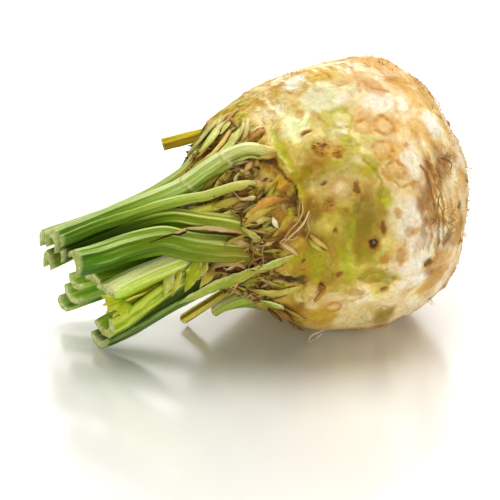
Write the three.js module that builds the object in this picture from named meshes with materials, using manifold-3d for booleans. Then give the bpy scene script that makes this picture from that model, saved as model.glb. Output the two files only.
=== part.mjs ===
// A celeriac root lying on its side: the trimmed bulb with the crown it grows into,
// and the cut leaf stalks that leave the crown as one bundle.
// Millimetres, +Z up. The origin is the middle of the flat spot the bulb rests on,
// and +X runs along the bulb from the crown to the root end.

import * as THREE from 'three';
import { mergeVertices } from 'three/addons/utils/BufferGeometryUtils.js';
import Module from 'manifold-3d';

// ---- driving dimensions ----

const BULB_HEIGHT = 54; // middle of the bulb above the rest spot
const BULB_RADIUS = 56.7; // at the root end
const BULB_BULGE = 3.2; // more than that at the widest ring
const CROWN_REACH = 18; // how far the crown cone stands out of the round bulb
const CROWN_START = 125; // degrees from the root end where the cone begins
const KNIFE_BLEND = 1.2; // softness of the edges between knife cuts
const SOCKET_GAP = 0.3; // room round each stalk where it leaves the crown
const NEIGHBOUR_GAP = 0.25; // room between stalks that lie on one another

// The way the cut ends face: the upper stalks were cut across, the lower ones at a slant.
const CUTS = {
  upper: new THREE.Vector3(-1, -0.02, 0.04).normalize(),
  lower: new THREE.Vector3(-0.934, -0.306, -0.183).normalize(),
};

// Knife cuts on the bulb: degrees from the root end, degrees round from the top
// toward -Y, distance of the cut from the bulb's middle.
const KNIFE_CUTS = [
  [108, 30, 58.4], [84, 38, 58.3], [93, 92, 58.6], [100, 118, 57.8], [72, 116, 58.2],
  [97, -25, 57.2], [62, 60, 57.6], [40, 40, 56.8], [35, 95, 56.4], [66, 20, 59.2],
  [88, 215, 58.2], [60, 250, 57.6], [95, 290, 58.0], [112, 255, 58.0], [118, 158, 56.8],
  [55, 320, 57.5], [18, 200, 55.8], [40, 170, 57.2], [75, 180, 58.5], [124, 60, 59.0],
];

// Swellings and hollows: degrees from the root end, degrees round, width in
// degrees, height in mm.
const SWELLINGS = [
  [67, -9, 10, 2.6], [52, 0, 13, 1.6], [53, 126, 15, 2.4], [68, 138, 13, 1.4],
  [126, -37, 12, 1.2], [139, -46, 12, 2.2], [139, 95, 16, 1.6], [135, 135, 14, 1.4],
  [118, 50, 6, 0.9], [74, 84, 5, -1.5], [104, 92, 3.5, -1.6], [28, 285, 16, 1.6],
  [70, 300, 18, 1.4], [100, 235, 16, 1.2], [45, 215, 14, 1.5], [133, 220, 14, 1.6],
];

// Leaf stalks and stubs. path: middle line in mm, from inside the crown to the cut
// end. wide: width at the base, in the middle and at the end. deep: height of the
// ribbed back over the margins. wall: thickness at the middle of the back.
// back: the way the ribbed back faces.
const STALKS = {
  leaf_stalk_top: {
    path: [[-37, -15, 82], [-44, -21, 88], [-52, -20, 91], [-59, -16, 88], [-67, -12, 82],
      [-76, -7, 74], [-92, 2, 65], [-108, 11, 57], [-124, 19, 49]],
    wide: [5.6, 9.6, 10], deep: [3.4, 6.6, 7.2], wall: [3, 5, 5], back: [0, -0.55, 0.83],
    colour: 0x6fa24a, cut: CUTS.upper,
  },
  leaf_stalk_front: {
    path: [[-46, -24, 50], [-57, -30, 52.5], [-69, -29, 55], [-80, -24, 56], [-89, -19, 58.4],
      [-101, -11, 54.4], [-112, -4, 49], [-120, 3, 45]],
    wide: [12, 12.8, 12], deep: [4, 7, 8.4], wall: [3, 5, 5.6], back: [0, -0.72, 0.69],
    colour: 0x63983a, cut: CUTS.upper,
  },
  leaf_stalk_low_front: {
    path: [[-59, -9, 46], [-73, -17, 47.5], [-85, -19, 46.5], [-99, -15, 41], [-111, -10, 34]],
    wide: [7, 9.4, 10.4], deep: [5, 7, 7.8], wall: [4, 5.4, 5.8], back: [0, -0.84, 0.54],
    colour: 0x9dbf5c,
  },
  leaf_stalk_arched: {
    path: [[-45, -24, 53], [-56, -30, 60], [-64, -28, 63.5], [-75, -21, 64.6], [-84, -13, 64.6],
      [-94, -5, 60.5], [-106, 6, 52], [-122, 16, 43]],
    wide: [11.6, 8.6, 6.4], deep: [3.4, 4.8, 4.6], wall: [2.4, 3.4, 3.4], back: [0, -0.7, 0.71],
    colour: 0x86b045, cut: CUTS.upper,
  },
  leaf_stalk_thin: {
    path: [[-44, -20, 75], [-52, -25, 78], [-60, -24, 78], [-71.9, -18.4, 73.7],
      [-76.3, -16.2, 72.8], [-87.7, -8.9, 68.5], [-98.2, -1.8, 63.3], [-108.1, 4.7, 58.5],
      [-122.9, 13.5, 50.5]],
    wide: [3.4, 4.4, 5], deep: [2.4, 3.4, 4], wall: [2, 2.8, 3], back: [0, -0.5, 0.87],
    colour: 0x9db356, cut: CUTS.upper,
  },
  leaf_stalk_bottom: {
    path: [[-47, -17, 35], [-58, -21, 35], [-70, -15, 30], [-85, -7, 20], [-99, 0, 10],
      [-111, 5, 4]],
    wide: [6, 8, 9.4], deep: [4, 5.6, 6.4], wall: [3.4, 4.4, 5], back: [0.1, 0.3, -0.95],
    colour: 0x4f7a34,
  },
  leaf_stalk_low: {
    path: [[-60, -13, 43], [-73, -16, 41], [-87, -14, 33], [-102, -9, 21], [-111, -5, 15]],
    wide: [7, 9.8, 11], deep: [5, 7, 8], wall: [4, 4.4, 4.2], back: [0.1, -0.15, -0.98],
    colour: 0x86b53c,
  },
  leaf_stalk_inner: {
    path: [[-56, -2, 44], [-69, -5, 46], [-84, -4, 43], [-100, 0, 38], [-112, 6, 33.5]],
    wide: [6, 8.8, 9], deep: [4, 5.8, 6.6], wall: [3.4, 4.4, 5], back: [0, -0.35, 0.94],
    colour: 0x94ad48,
  },
  leaf_stalk_middle: {
    path: [[-54, 8, 44], [-65, 3, 45], [-83, 4, 40], [-103, 10, 33], [-117, 15, 28.5]],
    wide: [6, 7.4, 8.2], deep: [4, 5.4, 6], wall: [3.2, 3.8, 4], back: [0, 0.5, -0.87],
    colour: 0x6f9c3c,
  },
  leaf_stalk_wide: {
    path: [[-48, 16, 37], [-61, 12, 37], [-80, 13, 31], [-101, 19, 23], [-116, 24, 18]],
    wide: [7, 9.4, 10.6], deep: [4, 6, 7], wall: [3.4, 4, 4], back: [0, 0.55, -0.83],
    colour: 0x5f9236,
  },
  leaf_stalk_far_low: {
    path: [[-45, 24, 32], [-56, 22, 30], [-76, 25, 22], [-100, 31, 14], [-117, 35, 9]],
    wide: [6, 7.8, 8.6], deep: [4, 5, 6], wall: [3.2, 3.8, 4], back: [0, 0.75, -0.66],
    colour: 0x4c7f34,
  },
  leaf_stalk_back: {
    path: [[-36, 27, 86], [-46, 18, 88], [-57, 15, 81], [-65, 15, 72], [-76, 19, 63.5],
      [-96, 27, 52.5], [-123, 39, 41]],
    wide: [5, 7, 9.6], deep: [3, 4.6, 6.6], wall: [2.6, 3.6, 4.6], back: [-0.3, 0.35, 0.89],
    colour: 0x8dab66, cut: CUTS.upper,
  },
  leaf_stalk_far: {
    path: [[-41, 9, 88], [-50, 4, 89], [-59, 3, 82], [-67, 6, 73], [-79, 14, 60], [-98, 27, 44],
      [-122, 38, 31]],
    wide: [4, 5.6, 10.4], deep: [2.4, 3.8, 7], wall: [2.2, 3, 4.2], back: [-0.3, 0.2, 0.93],
    colour: 0x9aae55, cut: CUTS.upper,
  },
  leaf_stalk_slender: {
    path: [[-40, 18, 87], [-49, 12, 87], [-58, 11, 80], [-66, 12, 72], [-73, 15, 64],
      [-84, 22, 51], [-97, 28, 37], [-109, 27, 29]],
    wide: [3.6, 4.6, 6], deep: [2.4, 3.4, 4], wall: [2.2, 3, 3.4], back: [-0.4, -0.1, 0.9],
    colour: 0xa3a548,
  },
  leaf_stalk_yellow: {
    path: [[-57, -16, 67], [-66, -20, 69], [-77, -17, 66], [-89, -7, 60], [-101, 0, 52]],
    wide: [4, 4.4, 4], deep: [3, 3.2, 3], wall: [2.4, 2.6, 2.4], back: [0, -0.6, 0.8],
    colour: 0xb9bf4a,
  },
  dry_stub_upper: {
    path: [[-38, 29, 83], [-46, 27, 83], [-54, 29, 81], [-68, 35, 77]],
    wide: [4.4, 5, 5.6], deep: [3, 4, 4.4], wall: [2.6, 3, 3.2], back: [0, -0.3, 0.95],
    colour: 0xa8893a, square: true,
  },
  dry_stub_lower: {
    path: [[-47, -9, 26], [-54, -3, 20], [-62, 4, 11.5], [-70, 11, 2.8]],
    wide: [3.6, 4.4, 4.8], deep: [3, 3.6, 4], wall: [2.6, 3, 3.2], back: [0, -0.8, 0.6],
    colour: 0xa88a34, square: true,
  },
  green_stub: {
    path: [[-33, -14, 14], [-42, -16.5, 18], [-52, -17, 22], [-59, -14.5, 20], [-64, -10, 15]],
    wide: [6, 7.4, 5], deep: [3.6, 4.8, 4], wall: [3, 3.8, 3.4], back: [0, -0.88, 0.47],
    colour: 0x86a85a, square: true,
  },
  young_leaf: {
    path: [[-84, -9.5, 35.5], [-93, -9.5, 32.5], [-102, -8.2, 30], [-110.5, -6, 26.8]],
    wide: [3, 7, 8], deep: [1.6, 3, 3.4], wall: [1.2, 1, 1], back: [0, 0.3, -0.95],
    colour: 0xb7bf3c, square: true,
  },
};

// Leaf scales and withered bases that are fused into the crown.
// path: middle line; wide: greatest width; wall: thickness; back: outer face.
const CROWN_SCALES = [
  { path: [[-42, -32, 68], [-48, -38, 73], [-55, -39, 74], [-61, -37, 70]], wide: 4.2,
    wall: 1.4, back: [0, -0.8, 0.6] },
  { path: [[-45, -33, 63], [-54, -38, 66], [-61, -36, 65]], wide: 3.2, wall: 1.4,
    back: [0, -0.9, 0.4] },
  { path: [[-36, -38, 53], [-45, -44, 51], [-52, -43, 49], [-59, -38, 45]], wide: 3.8,
    wall: 1.6, back: [0, -0.95, -0.3] },
  { path: [[-58, -22, 47], [-66, -27, 49], [-73, -27, 46], [-79, -24.5, 38]], wide: 5.6,
    wall: 1.4, back: [-0.3, -0.9, 0.3] },
  { path: [[-52, -22, 41], [-62, -28, 40], [-70, -28, 39], [-76, -23, 34]], wide: 5,
    wall: 1.3, back: [-0.2, -0.9, 0.1] },
  { path: [[-42, -18, 22], [-54, -21, 28], [-62, -18, 27], [-69, -11, 21]], wide: 4.4,
    wall: 1.3, back: [0, -0.8, -0.5] },
  { path: [[-45, -18, 80], [-57, -28, 76], [-62, -28, 72]], wide: 3, wall: 1.3,
    back: [-0.3, -0.8, 0.4] },
  { path: [[-36, -10, 90], [-46, -15, 97], [-53, -16, 93]], wide: 3, wall: 1.4,
    back: [0.2, 0, 1] },
  { path: [[-32, 0, 92], [-44, -3, 97.5], [-51, -3, 92]], wide: 3.2, wall: 1.4,
    back: [0.3, 0, 1] },
  { path: [[-34, 36, 70], [-48, 41, 71], [-57, 39, 67]], wide: 6, wall: 1.8,
    back: [0, 1, 0.3] },
  { path: [[-36, 40, 54], [-50, 42, 52], [-60, 38, 47]], wide: 5, wall: 1.8,
    back: [0, 1, 0] },
  { path: [[-38, 32, 26], [-50, 33, 25], [-59, 30, 19]], wide: 5.4, wall: 1.8,
    back: [0, 0.7, -0.7] },
  { path: [[-36, 8, 12], [-47, 8, 14], [-56, 10, 10]], wide: 6, wall: 1.8,
    back: [0, 0, -1] },
];

// ---- the bulb's shape ----

const RAD = Math.PI / 180;
const CENTRE = new THREE.Vector3(0, 0, BULB_HEIGHT);

// Unit vector from the bulb's middle: degrees from the root end, degrees round
// from the top toward -Y.
function direction(fromRoot, round) {
  const s = Math.sin(fromRoot * RAD);
  return new THREE.Vector3(
    Math.cos(fromRoot * RAD),
    -s * Math.sin(round * RAD),
    s * Math.cos(round * RAD),
  );
}

const cutPlanes = KNIFE_CUTS.map(([a, b, d]) => ({ n: direction(a, b), d }));
cutPlanes.push({ n: new THREE.Vector3(0, 0, -1), d: BULB_HEIGHT + 0.9 });
const swellings = SWELLINGS.map(([a, b, w, h]) => ({ n: direction(a, b), w: w * RAD, h }));

// The smaller of two lengths, with a soft change from one to the other.
function softMin(a, b, blend) {
  const h = Math.max(0, 1 - Math.abs(a - b) / (4 * blend));
  return Math.min(a, b) - h * h * blend;
}

// Distance from the bulb's middle to its skin along the unit vector v.
function skin(v) {
  const fromRoot = Math.acos(THREE.MathUtils.clamp(v.x, -1, 1));
  const cone = Math.max(0, (fromRoot / RAD - CROWN_START) / (180 - CROWN_START));
  let r = BULB_RADIUS + BULB_BULGE * Math.sin(fromRoot) ** 2;
  r += CROWN_REACH * cone ** 1.1;
  for (const s of swellings) {
    const away = v.angleTo(s.n) / s.w;
    r += s.h * Math.exp(-away * away);
  }
  for (const p of cutPlanes) {
    const facing = v.dot(p.n);
    if (facing > 0.5) r = softMin(r, p.d / facing, KNIFE_BLEND);
  }
  return r;
}

// ---- mesh helpers ----

function bufferGeometry(positions, index) {
  const g = new THREE.BufferGeometry();
  g.setAttribute('position', new THREE.Float32BufferAttribute(positions, 3));
  g.setIndex(index);
  return g;
}

// The skin as rings round the bulb's axis, closed by one point at each end.
function bulbGeometry() {
  const rings = 34;
  const round = 48;
  const positions = [];
  const index = [];
  const put = (v) => {
    v.multiplyScalar(skin(v)).add(CENTRE);
    positions.push(v.x, v.y, v.z);
  };
  put(new THREE.Vector3(1, 0, 0));
  for (let k = 1; k < rings; k++) {
    for (let i = 0; i < round; i++) put(direction((k * 180) / rings, (i * 360) / round));
  }
  put(new THREE.Vector3(-1, 0, 0));
  const last = 1 + (rings - 1) * round;
  for (let i = 0; i < round; i++) {
    const j = (i + 1) % round;
    index.push(0, 1 + i, 1 + j);
    for (let k = 0; k < rings - 2; k++) {
      const a = 1 + k * round;
      index.push(a + i, a + round + i, a + j, a + j, a + round + i, a + round + j);
    }
    index.push(last - round + i, last, last - round + j);
  }
  return bufferGeometry(positions, index);
}

// Outline of a stalk across its length: a ribbed back of outer steps over a hollow
// front of inner steps. Returns [side, back] pairs, going round once.
function outlineAcross(wide, deep, wall, ribs, grow, outer = 10, inner = 4) {
  const points = [];
  for (let i = 0; i <= outer; i++) {
    const a = (-0.5 + i / outer) * Math.PI;
    const rib = ribs * (i % 2 === 0 ? 1 : -1);
    points.push([
      (wide / 2 + grow + rib) * Math.sin(a),
      (deep + grow + rib) * Math.cos(a) - (i % outer === 0 ? grow : 0),
    ]);
  }
  const rim = Math.min(wide * 0.18, wall);
  for (let i = 0; i <= inner; i++) {
    const a = (0.5 - i / inner) * Math.PI;
    points.push([
      (wide / 2 - rim - grow) * Math.sin(a),
      (deep - wall - grow) * Math.cos(a) - (i % inner === 0 ? grow : 0),
    ]);
  }
  return points.map(([s, b]) => [s, b - deep * 0.45]);
}

// Value part way along a three-number list of base, middle and end.
function along([base, middle, end], t) {
  return t < 0.5
    ? THREE.MathUtils.lerp(base, middle, THREE.MathUtils.smoothstep(t, 0, 0.5))
    : THREE.MathUtils.lerp(middle, end, THREE.MathUtils.smoothstep(t, 0.5, 1));
}

// Solid made of outlines placed along a path. The last outline is slid along the
// stalk onto the plane of the knife cut, unless the stub is cut square.
function sweep(spec, rings, outlineAt, square, grow) {
  const cut = spec.cut || CUTS.lower;
  const curve = new THREE.CatmullRomCurve3(
    spec.path.map((q) => new THREE.Vector3(...q)), false, 'centripetal');
  const back = new THREE.Vector3(...spec.back);
  const positions = [];
  let count = 0;
  let outline = [];
  for (let k = 0; k <= rings; k++) {
    const t = k / rings;
    const p = curve.getPointAt(t);
    const tangent = curve.getTangentAt(t);
    const b = back.clone().addScaledVector(tangent, -back.dot(tangent)).normalize();
    const side = new THREE.Vector3().crossVectors(tangent, b);
    outline = outlineAt(t);
    count = outline.length;
    const overrun = k === rings ? grow : 0;
    for (const [s, o] of outline) {
      const q = p.clone().addScaledVector(side, s).addScaledVector(b, o);
      if (k === rings && !square) {
        const slide = p.clone().sub(q).dot(cut) / tangent.dot(cut);
        q.addScaledVector(tangent, slide);
      }
      q.addScaledVector(tangent, overrun);
      positions.push(q.x, q.y, q.z);
    }
  }
  const index = [];
  for (let k = 0; k < rings; k++) {
    for (let i = 0; i < count; i++) {
      const a = k * count + i;
      const c = k * count + ((i + 1) % count);
      index.push(a, c, a + count, c, c + count, a + count);
    }
  }
  const flat = outline.map(([s, o]) => new THREE.Vector2(s, o));
  const last = rings * count;
  for (const [a, b, c] of THREE.ShapeUtils.triangulateShape(flat, [])) {
    index.push(a, b, c);
    index.push(last + c, last + b, last + a);
  }
  return bufferGeometry(positions, index);
}

function stalkGeometry(spec, grow = 0) {
  const rings = Math.max(6, spec.path.length + 2);
  return sweep(spec, rings, (t) => outlineAcross(
    along(spec.wide, t), along(spec.deep, t), along(spec.wall, t), 0.18, grow,
  ), spec.square === true, grow);
}

// A pointed scale, curved across, thickest in the middle.
function scaleGeometry(spec) {
  return sweep(spec, 5, (t) => {
    const shape = 0.35 + 0.65 * Math.sin(Math.PI * Math.min(1, 0.25 + 0.72 * t));
    const w = spec.wide * shape;
    return outlineAcross(w, Math.max(w * 0.3, spec.wall * 1.1), spec.wall, 0, 0, 6, 2);
  }, true, 0);
}

// ---- solids ----

const wasm = await Module();
wasm.setup();

function solid(geometry) {
  const g = geometry.clone();
  g.deleteAttribute('normal');
  g.deleteAttribute('uv');
  const merged = mergeVertices(g, 1e-4);
  return new wasm.Manifold(new wasm.Mesh({
    numProp: 3,
    vertProperties: new Float32Array(merged.attributes.position.array),
    triVerts: new Uint32Array(merged.index.array),
  }));
}

function geometryOf(manifold) {
  const m = manifold.getMesh();
  return bufferGeometry(Array.from(m.vertProperties), Array.from(m.triVerts));
}

// The biggest connected piece of a solid.
function largest(manifold) {
  return manifold.decompose().reduce((a, b) => (b.volume() > a.volume() ? b : a));
}

// ---- the object ----

const group = new THREE.Group();

function addMesh(name, manifold, colour, roughness) {
  const geometry = geometryOf(manifold);
  geometry.computeVertexNormals();
  const material = new THREE.MeshStandardMaterial({ color: colour, roughness, metalness: 0 });
  const mesh = new THREE.Mesh(geometry, material);
  mesh.name = name;
  group.add(mesh);
}

// Stalks: each gives way to the ones listed before it.
const placed = [];
for (const [name, spec] of Object.entries(STALKS)) {
  let body = solid(stalkGeometry(spec));
  for (const other of placed) body = body.subtract(other.grown);
  placed.push({ name, spec, body: largest(body), grown: solid(stalkGeometry(spec, NEIGHBOUR_GAP)) });
}

// Bulb: the crown's scales grow out of it, the stalks' sockets and the flat rest
// spot are cut from it.
let bulb = solid(bulbGeometry());
for (const scale of CROWN_SCALES) bulb = bulb.add(solid(scaleGeometry(scale)));
for (const { spec } of placed) bulb = bulb.subtract(solid(stalkGeometry(spec, SOCKET_GAP)));
const floorBlock = new THREE.BoxGeometry(400, 400, 60);
floorBlock.translate(0, 0, -30);
bulb = largest(bulb.subtract(solid(floorBlock)));

addMesh('root_bulb', bulb, 0xd9cfa6, 0.7);
for (const { name, spec, body } of placed) {
  addMesh(name, body, spec.colour, spec.square ? 0.8 : 0.5);
}

export default group;
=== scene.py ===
from types import SimpleNamespace
import bpy
import numpy as np
from mathutils import Matrix


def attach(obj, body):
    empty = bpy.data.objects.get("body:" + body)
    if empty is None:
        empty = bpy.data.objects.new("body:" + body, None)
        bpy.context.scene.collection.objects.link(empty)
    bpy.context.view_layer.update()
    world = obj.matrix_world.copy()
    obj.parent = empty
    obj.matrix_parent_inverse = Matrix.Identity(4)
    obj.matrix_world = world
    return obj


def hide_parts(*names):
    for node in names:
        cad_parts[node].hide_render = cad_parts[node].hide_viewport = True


# A celeriac root lying on its side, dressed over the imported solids. Lengths are in
# millimetres until a mesh is made, and angles are in degrees.

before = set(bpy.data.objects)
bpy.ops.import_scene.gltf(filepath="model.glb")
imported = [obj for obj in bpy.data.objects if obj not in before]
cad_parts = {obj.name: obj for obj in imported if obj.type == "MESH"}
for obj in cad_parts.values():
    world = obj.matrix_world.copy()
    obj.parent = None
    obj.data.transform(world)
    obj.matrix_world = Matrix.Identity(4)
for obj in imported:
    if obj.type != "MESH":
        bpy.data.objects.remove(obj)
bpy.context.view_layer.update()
mm = 0.001
skinReach = 60  # length along the skin for a turn of one radian round the bulb
print("frame loaded:", len(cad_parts), "nodes")


# numbers and noise

def unit(v):  # each row over its own length
    return v / np.maximum(np.linalg.norm(v, axis=-1, keepdims=True), 1e-9)


def ease(low, high, x):  # 0 below low, 1 above high, 3t2 - 2t3 between
    t = np.clip((x - low) / (high - low), 0, 1)
    return t * t * (3 - 2 * t)


def mix(a, b, t):  # colour rows a and b mixed by one share per row
    t = np.asarray(t, float)[..., None]
    return np.asarray(a) * (1 - t) + np.asarray(b) * t


def cellValue(i, j, k, seed):  # -1 to 1 for each whole-number cell, by mixing its counts
    h = (i * 374761393 + j * 668265263 + k * 1442695041 + seed * 974634777) & 0xFFFFFFFF
    h = ((h ^ (h >> 13)) * 1274126177) & 0xFFFFFFFF
    h = ((h ^ (h >> 16)) * 668265263) & 0xFFFFFFFF
    return ((h >> 8) & 0xFFFF) / 32767.5 - 1


turned = np.array([[0.36, 0.48, -0.8], [-0.8, 0.6, 0], [0.48, 0.64, 0.6]])  # a slanted set of axes


def softNoise(p, size, seed):  # the eight cell values round a point, eased between
    q = np.asarray(p, float) @ turned / size
    base = np.floor(q).astype(np.int64)
    f = q - base
    f = f * f * (3 - 2 * f)
    total = 0
    for corner in range(8):
        step = np.array([corner & 1, (corner >> 1) & 1, corner >> 2])
        share = np.prod(np.where(step == 1, f, 1 - f), -1)
        cell = base + step
        total = total + share * cellValue(cell[..., 0], cell[..., 1], cell[..., 2], seed)
    return total


def cloud(p, size, seed, layers=3):  # soft noise at halving sizes and strengths
    return sum(softNoise(p, size * 0.5 ** n, seed + 17 * n) * 0.5 ** n for n in range(layers))


def stirred(p, size, amount, seed):  # points pushed about by three soft noises
    return p + amount * np.stack([cloud(p, size, seed + 100 * k, 2) for k in range(3)], -1)


def rgb(red, green, blue):  # screen colour 0-255 to the linear values renderers mix
    c = np.array([red, green, blue], float) / 255
    return np.where(c <= 0.04045, c / 12.92, ((c + 0.055) / 1.055) ** 2.4)


# meshes

def gridFaces(rows, columns, start=0, closed=False):  # between neighbours, row by row
    wide = columns if closed else columns - 1
    i, j = np.meshgrid(np.arange(rows - 1), np.arange(wide), indexing="ij")
    k = (j + 1) % columns
    corners = [i * columns + j, i * columns + k, (i + 1) * columns + k, (i + 1) * columns + j]
    return np.stack(corners, -1).reshape(-1, 4) + start


def makePiece(name, points, faces, tint, values, material, uv=None):
    # a smooth mesh riding the root; tint and values are kept on its points for the material
    mesh = bpy.data.meshes.new(name)
    mesh.from_pydata((points * mm).tolist(), [], faces if isinstance(faces, list) else faces.tolist())
    colour = np.ones((len(points), 4))
    colour[:, :3] = np.clip(tint, 0, 1)
    mesh.attributes.new("tint", "FLOAT_COLOR", "POINT").data.foreach_set("color", colour.ravel())
    for key, value in values.items():
        layer = mesh.attributes.new(key, "FLOAT", "POINT")
        layer.data.foreach_set("value", np.asarray(value, float).ravel())
    if uv is not None:
        corner = np.empty(len(mesh.loops), np.int64)
        mesh.loops.foreach_get("vertex_index", corner)
        mesh.uv_layers.new(name="along").data.foreach_set("uv", uv[corner].ravel())
    mesh.polygons.foreach_set("use_smooth", np.ones(len(mesh.polygons), bool))
    mesh.update()
    piece = bpy.data.objects.new(name, mesh)
    bpy.context.scene.collection.objects.link(piece)
    piece.data.materials.append(material)
    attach(piece, "root")
    return piece


# material nodes

def softFinish(weight, radius, scale, specular, tint):  # light that enters the flesh, and its shine
    return {"Subsurface Weight": weight, "Subsurface Radius": radius, "Subsurface Scale": scale,
            "Specular IOR Level": specular, "Specular Tint": tint}


def newMaterial(name, finish):  # a bare shader with the constants of its finish
    material = bpy.data.materials.new(name)
    material.use_nodes = True
    tree = material.node_tree
    tree.nodes.clear()
    shader = tree.nodes.new("ShaderNodeBsdfPrincipled")
    out = tree.nodes.new("ShaderNodeOutputMaterial")
    tree.links.new(shader.outputs["BSDF"], out.inputs["Surface"])
    for key, value in finish.items():
        shader.inputs[key].default_value = value
    return material, tree, shader


def node(tree, kind, settings=None, inputs=None, links=None):
    # one node with its settings, its constant inputs and the sockets joined to it
    made = tree.nodes.new(kind)
    for key, value in (settings or {}).items():
        setattr(made, key, value)
    for key, value in (inputs or {}).items():
        made.inputs[key].default_value = value
    for key, socket in (links or {}).items():
        tree.links.new(socket, made.inputs[key])
    return made


def attribute(tree, name, socket="Fac"):  # a value kept on the points
    return node(tree, "ShaderNodeAttribute", {"attribute_name": name}).outputs[socket]


def inPlace(tree):  # where a point is, in metres
    return node(tree, "ShaderNodeTexCoord").outputs["Object"]


def drawnOut(tree, squeeze):  # the piece's own UV, squeezed lengthways for long fibres
    uv = node(tree, "ShaderNodeUVMap", {"uv_map": "along"}).outputs["UV"]
    made = node(tree, "ShaderNodeMapping", None, {"Scale": (1, squeeze, 1)}, {"Vector": uv})
    return made.outputs["Vector"]


def noiseOf(tree, vector, scale, detail=4, roughness=0.55):
    made = node(tree, "ShaderNodeTexNoise", None,
                {"Scale": scale, "Detail": detail, "Roughness": roughness}, {"Vector": vector})
    return made.outputs["Fac"]


def spanOf(tree, socket, toLow, toHigh, low=0.3, high=0.7):  # low becomes toLow, high toHigh
    inputs = {"From Min": low, "From Max": high, "To Min": toLow, "To Max": toHigh}
    return node(tree, "ShaderNodeMapRange", None, inputs, {"Value": socket}).outputs["Result"]


def mathOf(tree, operation, a, b):  # b is a number or a socket
    made = node(tree, "ShaderNodeMath", {"operation": operation}, None, {0: a})
    if isinstance(b, (int, float)):
        made.inputs[1].default_value = b
    else:
        tree.links.new(b, made.inputs[1])
    return made.outputs[0]


def tonedTint(tree, first, second):  # the points' tint times two noises, each with its span
    tone = mathOf(tree, "MULTIPLY", spanOf(tree, *first), spanOf(tree, *second))
    links = {0: attribute(tree, "tint", "Color"), "Scale": tone}
    return node(tree, "ShaderNodeVectorMath", {"operation": "SCALE"}, None, links).outputs[0]


def finishOff(tree, shader, colour, roughening, height, distance, strength):
    # joins the colour, the points' roughness plus a noise with its span, and a bump
    tree.links.new(colour, shader.inputs["Base Color"])
    rough = mathOf(tree, "ADD", attribute(tree, "rough"), spanOf(tree, *roughening))
    tree.links.new(rough, shader.inputs["Roughness"])
    depth = {"Distance": distance, "Strength": strength}
    bump = node(tree, "ShaderNodeBump", None, depth, {"Height": height})
    tree.links.new(bump.outputs["Normal"], shader.inputs["Normal"])


# camera, floor and light

view = {
    "azimuth": -25, "elevation": 25, "lens": 100, "sensor": 36, "farClip": 20,
    "frame": 500,              # pixels across and down
    "pixelSize": 0.438,        # mm covered by one pixel at the bulb
    "bulbAt": (338, 195),      # where the bulb's middle stands in the frame
}


def standAt(name, data, axes, at):  # an object whose own x, y and z point along three axes
    holder = bpy.data.objects.new(name, data)
    holder.matrix_world = Matrix([[axis[k] for axis in axes] + [at[k]] for k in range(3)] + [[0, 0, 0, 1]])
    bpy.context.scene.collection.objects.link(holder)
    return holder


def makeCamera(view, bulbMiddle):
    # the distance follows from the lens and the size of a pixel at the bulb, and the aim
    # from how far the bulb's middle stands from the middle of the frame
    a, e = np.radians(view["azimuth"]), np.radians(view["elevation"])
    right = np.array([np.cos(a), np.sin(a), 0])
    back = np.array([np.sin(a) * np.cos(e), -np.cos(a) * np.cos(e), np.sin(e)])
    up = np.cross(back, right)
    size = view["pixelSize"]
    away = size * view["frame"] * view["lens"] / view["sensor"]
    x, y = (view["frame"] / 2 - at for at in view["bulbAt"])
    aim = bulbMiddle + right * x * size - up * y * size
    camera = standAt("camera", bpy.data.cameras.new("camera"), (right, up, back), (aim + back * away) * mm)
    camera.data.lens, camera.data.sensor_width = view["lens"], view["sensor"]
    camera.data.clip_end = view["farClip"]
    bpy.context.scene.camera = camera


studio = {
    "skyStrength": 0.33, "skyTint": (1.0, 0.92, 0.72, 1.0),
    "lamps": [  # name, power, size, where it stands, what it faces, in metres
        ("softboxBack", 6.3, 1.2, (0.75, 1.6, 0.62), (0, 0, 0.3)),
        ("softboxHigh", 16.2, 1.3, (0.75, 0.5, 1.5), (0, 0, 0.05)),
        ("softboxTop", 8.0, 0.7, (-0.1, 0.15, 1.15), (0, 0, 0.05)),
        ("softboxFront", 12.0, 1.2, (-0.3, -1.7, 0.45), (0, 0, 0.05)),
    ],
    "lampTint": (1.0, 0.982, 0.95),
    "floorReach": 4.0,
    "floorFinish": {"Base Color": (0.94, 0.955, 0.98, 1), "Roughness": 0.2, "Metallic": 0.2},
}


def makeStudio(studio):  # a dim warm sky, square lamps turned to face the root, a glossy floor
    world = bpy.data.worlds.new("studio")
    world.use_nodes = True
    world.node_tree.nodes["Background"].inputs["Color"].default_value = studio["skyTint"]
    world.node_tree.nodes["Background"].inputs["Strength"].default_value = studio["skyStrength"]
    bpy.context.scene.world = world
    bpy.context.scene.view_settings.view_transform = "Standard"
    for name, power, size, at, toward in studio["lamps"]:
        lamp = bpy.data.lights.new(name, "AREA")
        lamp.energy, lamp.size, lamp.color = power, size, studio["lampTint"]
        back = unit(np.array(at) - toward)
        right = unit(np.cross([0, 0, 1], back))
        standAt(name, lamp, (right, np.cross(back, right), back), at)
    mesh = bpy.data.meshes.new("floor")
    far = studio["floorReach"]
    mesh.from_pydata([(-far, -far, 0), (far, -far, 0), (far, far, 0), (-far, far, 0)], [], [(0, 1, 2, 3)])
    mesh.materials.append(newMaterial("floorGloss", studio["floorFinish"])[0])
    floor = bpy.data.objects.new("floor", mesh)
    bpy.context.scene.collection.objects.link(floor)


# the bulb

# Colours of the skin and the flesh under it.
flesh = {
    "white": rgb(252, 243, 222), "cream": rgb(243, 219, 166), "paleGreen": rgb(234, 220, 142),
    "lime": rgb(182, 176, 30), "olive": rgb(158, 136, 18), "tan": rgb(222, 178, 104),
    "ochre": rgb(196, 142, 50), "brown": rgb(158, 104, 44), "umber": rgb(108, 66, 22),
    "dark": rgb(54, 32, 10), "yellow": rgb(206, 172, 66), "orange": rgb(208, 132, 46),
    "mint": rgb(236, 232, 182), "limeBright": rgb(186, 192, 34), "palest": rgb(250, 243, 228),
    "core": rgb(164, 150, 122),
}

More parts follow.
